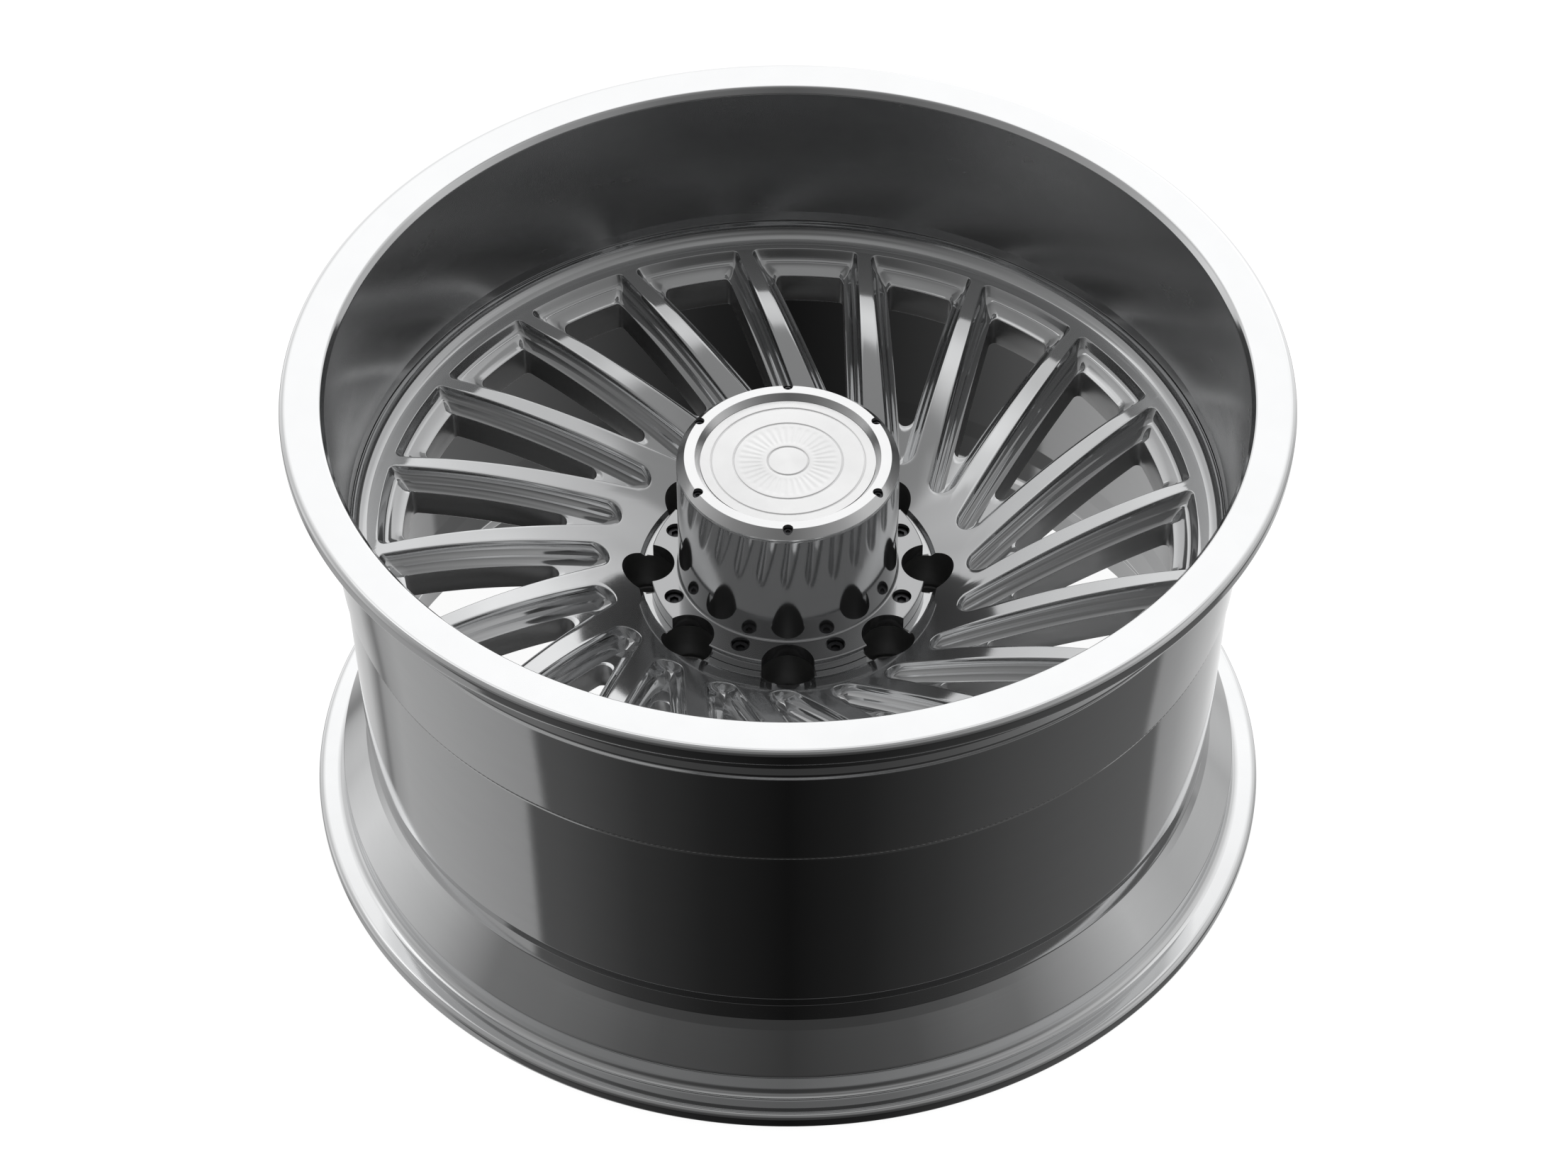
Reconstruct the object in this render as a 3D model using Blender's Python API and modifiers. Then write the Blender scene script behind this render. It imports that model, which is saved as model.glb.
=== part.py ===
"""Forged deep-dish wheel, 22 x 12 inch, eight lugs, with a tall bolt-on centre cap.

The wheel lies on its rear flange.  Its axle is the Z axis, the road-side face looks up,
and the origin is the centre of the plane that the rear flange rests on.  Metres, +Z up.
"""

import math

import bmesh
import bpy
from mathutils import Matrix

MM = 0.001
GAP = 0.3 * MM
RING_STEPS = 40
CAP_STEPS = 32

# Rim
RIM_RADIUS = 297.0 * MM
RIM_WIDTH = 326.0 * MM
FLANGE_THICKNESS = 11.0 * MM
BEAD_SEAT_RADIUS = 279.4 * MM
LIP_INNER_RADIUS = 274.6 * MM
SEAM_HEIGHT = 209.7 * MM
SEAM_RADIUS = 270.2 * MM
DROP_CENTRE_RADIUS = 264.0 * MM

# Forged centre
CENTRE_RADIUS = 262.0 * MM
CENTRE_EDGE_TOP = 225.0 * MM
RING_HEIGHT = 215.0 * MM
RING_RADIUS = 254.0 * MM
WINDOW_RADIUS = 246.4 * MM
FACE_SLOPE = 0.08
FACE_CURVE = 1.4
SPOKE_DEPTH = 30.0 * MM
HUB_BACK = 119.0 * MM
HUB_BACK_RADIUS = 106.0 * MM
CAP_SEAT_HEIGHT = 166.0 * MM
CAP_SEAT_RADIUS = 87.5 * MM
BORE_RADIUS = 62.55 * MM

# Windows between the spokes
WINDOW_COUNT = 20
HIGH_SIDE_ANGLE = math.radians(-68.4)
HIGH_SIDE_OFFSET = 67.85 * MM
LOW_SIDE_ANGLE = math.radians(-88.6)
LOW_SIDE_OFFSET = 50.15 * MM

# Window steps, top to bottom: side inset, outer radius, inner end radius, corner radius
# and depth, all in mm.  The first and last depths are heights above the rear flange.
WINDOW_TOP = (0.0, 246.4, 8.9, 4.0, 250.0)
WINDOW_STEPS = [
    (0.0, 246.4, 8.9, 4.0, 1.0),
    (4.6, 240.6, 3.6, 3.5, 7.6),
    (8.9, 232.0, 5.2, 3.5, 11.2),
]
WINDOW_BOTTOM = (10.5, 229.6, 4.9, 3.5, 150.0)

# Lug holes and screws
LUG_COUNT = 8
LUG_CIRCLE = 85.0 * MM
FIRST_LUG = -math.pi / 2
LUG_POCKET_RADIUS = 16.0 * MM
LUG_POCKET_FLOOR = 139.0 * MM
STUD_HOLE_RADIUS = 8.2 * MM
FLANGE_SCREW_CIRCLE = 74.4 * MM
FIRST_FLANGE_SCREW = FIRST_LUG + math.pi / LUG_COUNT
FLANGE_HEAD_SEAT = 169.2 * MM
LID_SCREW_COUNT = 6
LID_SCREW_CIRCLE = 61.3 * MM
LID_HEAD_SEAT = 260.2 * MM

# Centre cap
CAP_FLANGE_RADIUS = 84.0 * MM
CAP_FLANGE_TOP = 175.4 * MM
SLEEVE_RADIUS = 66.6 * MM
SLEEVE_INNER_RADIUS = 60.0 * MM
SLEEVE_TOP = 258.5 * MM
LID_TOP = 265.0 * MM
LID_FLAT_RADIUS = 61.8 * MM
EMBLEM_RADIUS = 52.2 * MM
EMBLEM_TOP = 261.2 * MM

# Tyre valve, on the +Y side of the drop centre, pointing at the axle
VALVE_HEIGHT = 84.0 * MM
VALVE_SEAT = 262.6 * MM
VALVE_WALL = 6.0 * MM


def clear_scene():
    """Remove every object that the scene holds."""
    for item in list(bpy.data.objects):
        bpy.data.objects.remove(item)


def new_collection(name):
    """Make a collection and link it to the scene."""
    collection = bpy.data.collections.new(name)
    bpy.context.scene.collection.children.link(collection)
    return collection


def finish(name, colour, roughness, metallic):
    """Make the plain material of one sub-part."""
    material = bpy.data.materials.new(name)
    material.use_nodes = True
    shader = material.node_tree.nodes["Principled BSDF"]
    shader.inputs["Base Color"].default_value = (*colour, 1.0)
    shader.inputs["Roughness"].default_value = roughness
    shader.inputs["Metallic"].default_value = metallic
    return material


def profile_mesh(name, profile, closed=True):
    """Edges through the (radius, height) points, in the XZ plane."""
    mesh = bpy.data.meshes.new(name)
    points = [(radius, 0.0, height) for radius, height in profile]
    edges = [(i, i + 1) for i in range(len(points) - 1)]
    if closed:
        edges.append((len(points) - 1, 0))
    mesh.from_pydata(points, edges, [])
    return mesh


def turn(item, steps):
    """Turn a profile object once round its own Z axis."""
    screw = item.modifiers.new("turned", "SCREW")
    screw.steps = steps
    screw.render_steps = steps
    screw.use_merge_vertices = True
    screw.merge_threshold = 0.00001
    screw.use_smooth_shade = True


def place(name, mesh, collection, material=None):
    """Put a mesh in the scene as a named object."""
    item = bpy.data.objects.new(name, mesh)
    if material is not None:
        mesh.materials.append(material)
    collection.objects.link(item)
    return item


def turned_part(name, profile, material, steps=RING_STEPS, closed=True):
    """A part whose profile runs down its outer side and back up its inner side."""
    item = place(name, profile_mesh(name, profile, closed), PARTS, material)
    turn(item, steps)
    return item


def cutter(name, mesh, collection):
    """Put a cutting shape in one of the cutter collections."""
    item = place(name, mesh, collection)
    item.hide_render = True
    item.display_type = "WIRE"
    return item


def cut(item, collection):
    """Cut every shape of a cutter collection out of a part."""
    boolean = item.modifiers.new("cut_" + collection.name, "BOOLEAN")
    boolean.operation = "DIFFERENCE"
    boolean.operand_type = "COLLECTION"
    boolean.collection = collection
    boolean.solver = "EXACT"


def cutter_circle(name, profile, radius, count, first_angle, steps):
    """A collection of equal turned cutters, spaced evenly on a circle round the axle."""
    collection = bpy.data.collections.new(name)
    CUTTERS.children.link(collection)
    mesh = profile_mesh(name, profile, closed=False)
    for index in range(count):
        angle = first_angle + index * math.tau / count
        item = cutter(f"{name}_{index + 1}", mesh, collection)
        item.location = (radius * math.cos(angle), radius * math.sin(angle), 0.0)
        turn(item, steps)
    return collection


def arc(centre, radius, start, end, count):
    """Points of an arc in a plane, from one angle in degrees to another."""
    points = []
    for index in range(count):
        angle = math.radians(start + (end - start) * index / (count - 1))
        points.append((centre[0] + radius * math.cos(angle), centre[1] + radius * math.sin(angle)))
    return points


def face_height(radius):
    """Height of the face: a flat ring, then a spoke surface that steepens towards the hub."""
    inward = max(WINDOW_RADIUS - radius, 0.0)
    return RING_HEIGHT - FACE_SLOPE * inward - FACE_CURVE * inward * inward


def along_face(radii, drop=0.0):
    """Profile points that follow the face, or a surface a fixed drop below it."""
    return [(radius, face_height(radius) - drop) for radius in radii]


# Rim halves and welds

def front_rim_profile():
    """Lip, front flange, bead seat and hump outside; the dish wall inside."""
    top = RIM_WIDTH
    back = RIM_WIDTH - FLANGE_THICKNESS
    bottom = SEAM_HEIGHT + 1.5 * MM
    outside = arc((RIM_RADIUS - 3.5 * MM, top - 3.5 * MM), 3.5 * MM, 90, 0, 2)
    outside += arc((RIM_RADIUS - 3.5 * MM, back + 3.5 * MM), 3.5 * MM, 0, -90, 2)
    outside += arc((BEAD_SEAT_RADIUS + 6 * MM, back - 5.5 * MM), 5.5 * MM, 90, 180, 2)
    outside += [
        (BEAD_SEAT_RADIUS - 1.0 * MM, back - 21 * MM),
        (BEAD_SEAT_RADIUS + 1.0 * MM, back - 25.5 * MM),
        (BEAD_SEAT_RADIUS - 2.4 * MM, back - 32 * MM),
        (SEAM_RADIUS, bottom),
    ]
    inside = [
        (CENTRE_RADIUS + GAP, bottom),
        (CENTRE_RADIUS + GAP, CENTRE_EDGE_TOP + 1.0 * MM),
        (CENTRE_RADIUS + 1.5 * MM, CENTRE_EDGE_TOP + 7.0 * MM),
        (LIP_INNER_RADIUS - 4.0 * MM, top - 4.0 * MM),
        (LIP_INNER_RADIUS - 2.8 * MM, top - 1.2 * MM),
        (LIP_INNER_RADIUS, top),
    ]
    return outside + inside


def rear_rim_profile():
    """Joint step, drop centre, cone, bead seat and rear flange outside; the barrel inside."""
    joint = SEAM_HEIGHT - 1.5 * MM
    outside = [
        (SEAM_RADIUS - 1.6 * MM, joint),
        (SEAM_RADIUS - 2.0 * MM, joint - 2.0 * MM),
        (DROP_CENTRE_RADIUS, 80.0 * MM),
        (DROP_CENTRE_RADIUS - 2.5 * MM, 71.0 * MM),
        (DROP_CENTRE_RADIUS - 2.5 * MM, 58.0 * MM),
        (DROP_CENTRE_RADIUS + 0.5 * MM, 52.0 * MM),
        (BEAD_SEAT_RADIUS + 1.2 * MM, 27.6 * MM),
        (BEAD_SEAT_RADIUS - 0.4 * MM, 25.0 * MM),
        (BEAD_SEAT_RADIUS + 0.4 * MM, FLANGE_THICKNESS + 5.0 * MM),
    ]
    outside += arc((BEAD_SEAT_RADIUS + 6.0 * MM, FLANGE_THICKNESS + 5.5 * MM), 5.5 * MM, 225, 270, 2)
    outside += arc((RIM_RADIUS - 4.0 * MM, FLANGE_THICKNESS - 4.0 * MM), 4.0 * MM, 90, 0, 2)
    outside += arc((RIM_RADIUS - 4.0 * MM, 4.0 * MM), 4.0 * MM, 0, -90, 2)
    inside = [
        (273.0 * MM, 0.0),
        (270.0 * MM, 4.0 * MM),
        (267.5 * MM, 26.0 * MM),
        (254.8 * MM, 50.0 * MM),
        (254.8 * MM, 70.0 * MM),
        (256.8 * MM, 82.0 * MM),
        (257.6 * MM, 172.0 * MM),
        (CENTRE_RADIUS + GAP, 177.0 * MM),
        (CENTRE_RADIUS + GAP, joint),
    ]
    return outside + inside


def build_rim(material, weld_material):
    """The two forged rim halves, and the weld beads that join them and the centre."""
    turned_part("front_rim_half", front_rim_profile(), material)
    rear = turned_part("rear_rim_half", rear_rim_profile(), material)
    girth = [
        (SEAM_RADIUS - 0.6 * MM, SEAM_HEIGHT + 1.5 * MM - GAP),
        (SEAM_RADIUS - 0.3 * MM, SEAM_HEIGHT),
        (SEAM_RADIUS - 1.8 * MM, SEAM_HEIGHT - 1.5 * MM + GAP),
        (CENTRE_RADIUS + 2 * GAP, SEAM_HEIGHT - 1.5 * MM + GAP),
        (CENTRE_RADIUS + 2 * GAP, SEAM_HEIGHT + 1.5 * MM - GAP),
    ]
    turned_part("girth_weld", girth, weld_material)
    edge_bottom = RING_HEIGHT - SPOKE_DEPTH - 4.0 * MM
    fillet = [
        (257.2 * MM, edge_bottom - GAP),
        (257.2 * MM, edge_bottom - 8.0 * MM),
        (253.5 * MM, edge_bottom - 4.5 * MM),
        (250.0 * MM, edge_bottom - GAP),
    ]
    turned_part("centre_weld", fillet, weld_material)
    return rear


# Forged centre

def centre_profile():
    """Welded edge, back of the spokes, hub pad, bore, cap seat and face."""
    back = [238, 200, 160, 124]
    face = [91.5, 110, 136, 168, 205, 246.4]
    edge_bottom = RING_HEIGHT - SPOKE_DEPTH - 4.0 * MM
    profile = [(CENTRE_RADIUS, CENTRE_EDGE_TOP), (CENTRE_RADIUS, edge_bottom)]
    profile += along_face([radius * MM for radius in back], SPOKE_DEPTH)
    profile += [
        (HUB_BACK_RADIUS + 4.0 * MM, HUB_BACK + 9.0 * MM),
        (HUB_BACK_RADIUS, HUB_BACK),
        (BORE_RADIUS + 2.0 * MM, HUB_BACK),
        (BORE_RADIUS, HUB_BACK + 2.0 * MM),
        (BORE_RADIUS, CAP_SEAT_HEIGHT - 1.5 * MM),
        (BORE_RADIUS + 1.5 * MM, CAP_SEAT_HEIGHT),
        (CAP_SEAT_RADIUS, CAP_SEAT_HEIGHT),
    ]
    profile += along_face([radius * MM for radius in face])
    profile += [
        (RING_RADIUS, RING_HEIGHT),
        (RING_RADIUS + 3.0 * MM, RING_HEIGHT + 2.0 * MM),
        (CENTRE_RADIUS - 1.0 * MM, CENTRE_EDGE_TOP),
    ]
    return profile


def side_line(angle, offset):
    """A straight window side: its unit normal and its distance from the axle."""
    return (math.cos(angle), math.sin(angle)), offset


def crossing(first, second):
    """Point where two side lines cross."""
    (ax, ay), a = first
    (bx, by), b = second
    det = ax * by - ay * bx
    return ((a * by - b * ay) / det, (ax * b - bx * a) / det)


def corner_centre(line, side, radius, outer):
    """Centre of the rounding between a side line and the outer arc of a window.

    It stands its radius inside the line and its radius inside the arc.
    """
    (nx, ny), offset = line
    distance = offset + side * radius
    along = math.sqrt((outer - radius) ** 2 - distance ** 2)
    return (nx * distance - ny * along, ny * distance + nx * along)


def window_outline(side_inset, outer, end_radius, corner):
    """Plan outline of a window: two straight sides, an outer arc and a round inner end."""
    high = side_line(HIGH_SIDE_ANGLE, HIGH_SIDE_OFFSET + side_inset)
    low = side_line(LOW_SIDE_ANGLE, LOW_SIDE_OFFSET - side_inset)
    apex = crossing(high, low)
    half_angle = (HIGH_SIDE_ANGLE - LOW_SIDE_ANGLE) / 2
    middle = (HIGH_SIDE_ANGLE + LOW_SIDE_ANGLE) / 2 + math.pi / 2
    reach = end_radius / math.sin(half_angle)
    inner = (apex[0] + reach * math.cos(middle), apex[1] + reach * math.sin(middle))
    high_corner = corner_centre(high, 1.0, corner, outer)
    low_corner = corner_centre(low, -1.0, corner, outer)
    high_out = math.degrees(math.atan2(high_corner[1], high_corner[0]))
    low_out = math.degrees(math.atan2(low_corner[1], low_corner[0]))
    high_side = math.degrees(HIGH_SIDE_ANGLE)
    low_side = math.degrees(LOW_SIDE_ANGLE)
    outline = arc(inner, end_radius, high_side + 180, low_side + 360, 5)
    outline += arc(low_corner, corner, low_side, low_out, 3)
    outline += arc((0.0, 0.0), outer, low_out + 2.5, high_out - 2.5, 3)
    outline += arc(high_corner, corner, high_out, high_side + 180, 3)
    return outline


def step_outline(step):
    """Plan outline of one window step given in mm."""
    side_inset, outer, end_radius, corner = [value * MM for value in step[:4]]
    return window_outline(side_inset, outer, end_radius, corner)


def window_cutter_mesh():
    """Stepped pocket and through hole of one window, as a loft through its outlines."""
    levels = [[(x, y, WINDOW_TOP[4] * MM) for x, y in step_outline(WINDOW_TOP)]]
    for step in WINDOW_STEPS:
        depth = step[4] * MM
        outline = step_outline(step)
        levels.append([(x, y, face_height(math.hypot(x, y)) - depth) for x, y in outline])
    levels.append([(x, y, WINDOW_BOTTOM[4] * MM) for x, y in step_outline(WINDOW_BOTTOM)])
    shape = bmesh.new()
    rings = [[shape.verts.new(point) for point in level] for level in levels]
    count = len(rings[0])
    for upper, lower in zip(rings, rings[1:]):
        for index in range(count):
            after = (index + 1) % count
            shape.faces.new((lower[index], lower[after], upper[after], upper[index]))
    shape.faces.new(rings[0])
    shape.faces.new(reversed(rings[-1]))
    bmesh.ops.recalc_face_normals(shape, faces=shape.faces)
    mesh = bpy.data.meshes.new("window_cutter")
    shape.to_mesh(mesh)
    shape.free()
    return mesh


def window_cutters():
    """One window cutter for each gap between spokes."""
    collection = bpy.data.collections.new("window_cutters")
    CUTTERS.children.link(collection)
    mesh = window_cutter_mesh()
    for index in range(WINDOW_COUNT):
        item = cutter(f"window_cutter_{index + 1}", mesh, collection)
        item.rotation_euler = (0.0, 0.0, index * math.tau / WINDOW_COUNT)
    return collection


def lug_cutter_profile():
    """Lug nut pocket, cone seat and stud hole, from the axis at the top down."""
    return [
        (0.0, 230.0 * MM),
        (LUG_POCKET_RADIUS, 230.0 * MM),
        (LUG_POCKET_RADIUS, LUG_POCKET_FLOOR),
        (13.0 * MM, LUG_POCKET_FLOOR),
        (STUD_HOLE_RADIUS, 130.7 * MM),
        (STUD_HOLE_RADIUS, 110.0 * MM),
        (0.0, 110.0 * MM),
    ]


def build_centre(material):
    """The one-piece forged centre: edge, spokes, hub, lug holes and screw holes."""
    centre = turned_part("forged_centre", centre_profile(), material)
    cut(centre, window_cutters())
    lugs = cutter_circle("lug_cutters", lug_cutter_profile(), LUG_CIRCLE, LUG_COUNT, FIRST_LUG, 14)
    cut(centre, lugs)
    tapped = [
        (0.0, 200.0 * MM),
        (3.3 * MM, 200.0 * MM),
        (3.3 * MM, 148.0 * MM),
        (0.0, 146.0 * MM),
    ]
    cut(centre, cutter_circle(
        "tapped_cutters", tapped, FLANGE_SCREW_CIRCLE, LUG_COUNT, FIRST_FLANGE_SCREW, 8))
    return lugs


# Centre cap

def sleeve_profile():
    """Flange and tall tube of the cap, with a thick top ring for the lid screws."""
    return [
        (SLEEVE_RADIUS, SLEEVE_TOP),
        (SLEEVE_RADIUS, CAP_FLANGE_TOP + 1.0 * MM),
        (SLEEVE_RADIUS + 1.0 * MM, CAP_FLANGE_TOP),
        (CAP_FLANGE_RADIUS - 0.6 * MM, CAP_FLANGE_TOP),
        (CAP_FLANGE_RADIUS, CAP_FLANGE_TOP - 0.6 * MM),
        (CAP_FLANGE_RADIUS, CAP_SEAT_HEIGHT + GAP),
        (SLEEVE_INNER_RADIUS, CAP_SEAT_HEIGHT + GAP),
        (SLEEVE_INNER_RADIUS, SLEEVE_TOP - 18.0 * MM),
        (55.5 * MM, SLEEVE_TOP - 14.0 * MM),
        (55.5 * MM, SLEEVE_TOP),
    ]


def lid_profile():
    """Chamfered lid with a locating spigot below and the emblem recess on top."""
    return [
        (0.0, EMBLEM_TOP - 1.8 * MM),
        (EMBLEM_RADIUS + GAP, EMBLEM_TOP - 1.8 * MM),
        (EMBLEM_RADIUS + GAP, EMBLEM_TOP),
        (55.5 * MM, LID_TOP),
        (LID_FLAT_RADIUS, LID_TOP),
        (SLEEVE_RADIUS, LID_TOP - 4.8 * MM),
        (SLEEVE_RADIUS, SLEEVE_TOP + GAP),
        (55.0 * MM, SLEEVE_TOP + GAP),
        (55.0 * MM, SLEEVE_TOP - 5.0 * MM),
        (50.0 * MM, SLEEVE_TOP - 5.0 * MM),
        (50.0 * MM, EMBLEM_TOP - 6.0 * MM),
        (0.0, EMBLEM_TOP - 6.0 * MM),
    ]


def screw_profile(head_radius, head_height, shank_radius, length, socket_radius, socket_depth):
    """Socket-head screw with its head resting on height 0 and its shank below."""
    return [
        (0.0, head_height - socket_depth),
        (socket_radius, head_height - socket_depth),
        (socket_radius, head_height),
        (head_radius - 0.4 * MM, head_height),
        (head_radius, head_height - 0.4 * MM),
        (head_radius, 0.0),
        (shank_radius, 0.0),
        (shank_radius, 0.6 * MM - length),
        (0.0, -length),
    ]


def screw_circle(name, profile, material, radius, height, count, first_angle, steps):
    """Equal screws on a circle, each its own part."""
    mesh = profile_mesh(name, profile, closed=False)
    mesh.materials.append(material)
    for index in range(count):
        angle = first_angle + index * math.tau / count
        item = place(f"{name}_{index + 1}", mesh, PARTS)
        item.location = (radius * math.cos(angle), radius * math.sin(angle), height)
        turn(item, steps)


def build_cap(sleeve_material, lid_material, emblem_material, screw_material, lugs):
    """Sleeve, lid, emblem disc and their fourteen screws."""
    sleeve = turned_part("cap_sleeve", sleeve_profile(), sleeve_material, steps=CAP_STEPS)
    lid = turned_part("cap_lid", lid_profile(), lid_material, steps=CAP_STEPS, closed=False)
    emblem = [
        (0.0, EMBLEM_TOP),
        (EMBLEM_RADIUS, EMBLEM_TOP),
        (EMBLEM_RADIUS, EMBLEM_TOP - 1.8 * MM + GAP),
        (0.0, EMBLEM_TOP - 1.8 * MM + GAP),
    ]
    turned_part("cap_emblem_disc", emblem, emblem_material, steps=CAP_STEPS, closed=False)

    cut(sleeve, lugs)
    counterbore = [
        (0.0, 177.0 * MM),
        (5.9 * MM, 177.0 * MM),
        (5.9 * MM, FLANGE_HEAD_SEAT),
        (3.4 * MM, FLANGE_HEAD_SEAT),
        (3.4 * MM, 160.0 * MM),
        (0.0, 160.0 * MM),
    ]
    cut(sleeve, cutter_circle(
        "flange_screw_cutters", counterbore, FLANGE_SCREW_CIRCLE, LUG_COUNT, FIRST_FLANGE_SCREW, 10))
    lid_tapped = [
        (0.0, 262.0 * MM),
        (1.8 * MM, 262.0 * MM),
        (1.8 * MM, 247.0 * MM),
        (0.0, 246.0 * MM),
    ]
    cut(sleeve, cutter_circle(
        "lid_tapped_cutters", lid_tapped, LID_SCREW_CIRCLE, LID_SCREW_COUNT, FIRST_LUG, 6))
    lid_counterbore = [
        (0.0, 268.0 * MM),
        (3.1 * MM, 268.0 * MM),
        (3.1 * MM, LID_HEAD_SEAT),
        (1.8 * MM, LID_HEAD_SEAT),
        (1.8 * MM, 255.0 * MM),
        (0.0, 255.0 * MM),
    ]
    cut(lid, cutter_circle(
        "lid_screw_cutters", lid_counterbore, LID_SCREW_CIRCLE, LID_SCREW_COUNT, FIRST_LUG, 8))

    flange_screw = screw_profile(5.2 * MM, 3.0 * MM, 3.0 * MM, 18.0 * MM, 2.6 * MM, 2.0 * MM)
    screw_circle(
        "flange_screw", flange_screw, screw_material, FLANGE_SCREW_CIRCLE,
        FLANGE_HEAD_SEAT + GAP, LUG_COUNT, FIRST_FLANGE_SCREW, 8)
    lid_screw = screw_profile(2.7 * MM, 1.8 * MM, 1.5 * MM, 11.0 * MM, 1.4 * MM, 1.2 * MM)
    screw_circle(
        "lid_screw", lid_screw, screw_material, LID_SCREW_CIRCLE,
        LID_HEAD_SEAT + GAP, LID_SCREW_COUNT, FIRST_LUG, 6)


# Tyre valve

def valve_part(name, profile, material, steps, closed=True):
    """A valve part, turned on the valve's axis: height 0 is the seat, +height the axle side."""
    item = turned_part(name, profile, material, steps, closed)
    item.matrix_world = VALVE_FRAME
    return item


def build_valve(rear, metal, rubber, brass, plastic):
    """Clamp-in valve through the rear half: stem, seal, washer, nut, core, pin and cap."""
    collection = bpy.data.collections.new("valve_cutters")
    CUTTERS.children.link(collection)
    hole = [
        (0.0, 20.0 * MM),
        (9.6 * MM, 20.0 * MM),
        (9.6 * MM, VALVE_WALL),
        (5.0 * MM, VALVE_WALL),
        (5.0 * MM, 0.0),
        (10.0 * MM, 0.0),
        (10.0 * MM, -10.0 * MM),
        (0.0, -10.0 * MM),
    ]
    bore = cutter("valve_hole_cutter", profile_mesh("valve_hole_cutter", hole, False), collection)
    bore.matrix_world = VALVE_FRAME
    turn(bore, 12)
    cut(rear, collection)

    seal = [
        (8.8 * MM, -GAP),
        (8.4 * MM, -2.6 * MM),
        (4.3 * MM, -2.6 * MM),
        (4.3 * MM, -GAP),
    ]
    valve_part("valve_seal", seal, rubber, 12)
    tip = 44.0 * MM
    stem = [
        (2.6 * MM, tip),
        (3.6 * MM, tip),
        (3.9 * MM, tip - 0.6 * MM),
        (3.9 * MM, -2.6 * MM - GAP),
        (8.0 * MM, -2.6 * MM - GAP),
        (8.0 * MM, -5.6 * MM),
        (2.6 * MM, -5.6 * MM),
    ]
    valve_part("valve_stem", stem, metal, 12)
    washer = [
        (7.6 * MM, VALVE_WALL + 1.5 * MM),
        (7.6 * MM, VALVE_WALL + GAP),
        (4.3 * MM, VALVE_WALL + GAP),
        (4.3 * MM, VALVE_WALL + 1.5 * MM),
    ]
    valve_part("valve_washer", washer, metal, 12)
    nut = [
        (6.9 * MM, VALVE_WALL + 6.5 * MM),
        (6.9 * MM, VALVE_WALL + 1.5 * MM + GAP),
        (4.8 * MM, VALVE_WALL + 1.5 * MM + GAP),
        (4.8 * MM, VALVE_WALL + 6.5 * MM),
    ]
    valve_part("valve_nut", nut, metal, 6)
    core = [
        (2.2 * MM, tip - 1.6 * MM),
        (2.2 * MM, tip - 16.0 * MM),
        (1.1 * MM, tip - 16.0 * MM),
        (1.1 * MM, tip - 1.6 * MM),
    ]
    valve_part("valve_core", core, brass, 8)
    pin = [
        (0.0, tip - 0.4 * MM),
        (0.7 * MM, tip - 0.4 * MM),
        (0.7 * MM, tip - 17.0 * MM),
        (1.9 * MM, tip - 17.0 * MM),
        (1.9 * MM, tip - 19.0 * MM),
        (0.0, tip - 19.0 * MM),
    ]
    valve_part("valve_pin", pin, brass, 8, closed=False)
    cap = [
        (0.0, tip + 2.6 * MM),
        (4.6 * MM, tip + 2.6 * MM),
        (5.2 * MM, tip + 2.0 * MM),
        (5.4 * MM, tip - 8.0 * MM),
        (4.3 * MM, tip - 8.0 * MM),
        (4.3 * MM, tip + 0.6 * MM),
        (0.0, tip + 0.6 * MM),
    ]
    valve_part("valve_cap", cap, plastic, 12, closed=False)


clear_scene()
PARTS = new_collection("forged_wheel_rim")
CUTTERS = new_collection("forged_wheel_cutters")
VALVE_FRAME = Matrix.Translation((0.0, VALVE_SEAT, VALVE_HEIGHT)) @ Matrix.Rotation(math.pi / 2, 4, "X")

POLISHED = finish("polished_rim", (0.60, 0.61, 0.62), 0.12, 1.0)
WELD = finish("weld_bead", (0.50, 0.51, 0.52), 0.40, 1.0)
FACE = finish("polished_centre", (0.62, 0.63, 0.64), 0.16, 1.0)
SLEEVE = finish("polished_sleeve", (0.58, 0.59, 0.60), 0.10, 1.0)
LID = finish("machined_lid", (0.72, 0.73, 0.74), 0.22, 1.0)
EMBLEM = finish("brushed_emblem", (0.80, 0.80, 0.81), 0.30, 1.0)
SCREW = finish("black_oxide_screw", (0.05, 0.05, 0.05), 0.45, 0.9)
VALVE_METAL = finish("nickel_valve", (0.62, 0.60, 0.57), 0.25, 1.0)
VALVE_RUBBER = finish("valve_rubber", (0.02, 0.02, 0.02), 0.75, 0.0)
VALVE_BRASS = finish("valve_brass", (0.70, 0.52, 0.25), 0.30, 1.0)
VALVE_PLASTIC = finish("valve_cap_plastic", (0.03, 0.03, 0.03), 0.50, 0.0)

REAR = build_rim(POLISHED, WELD)
LUGS = build_centre(FACE)
build_cap(SLEEVE, LID, EMBLEM, SCREW, LUGS)
build_valve(REAR, VALVE_METAL, VALVE_RUBBER, VALVE_BRASS, VALVE_PLASTIC)
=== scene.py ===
import math

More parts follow.
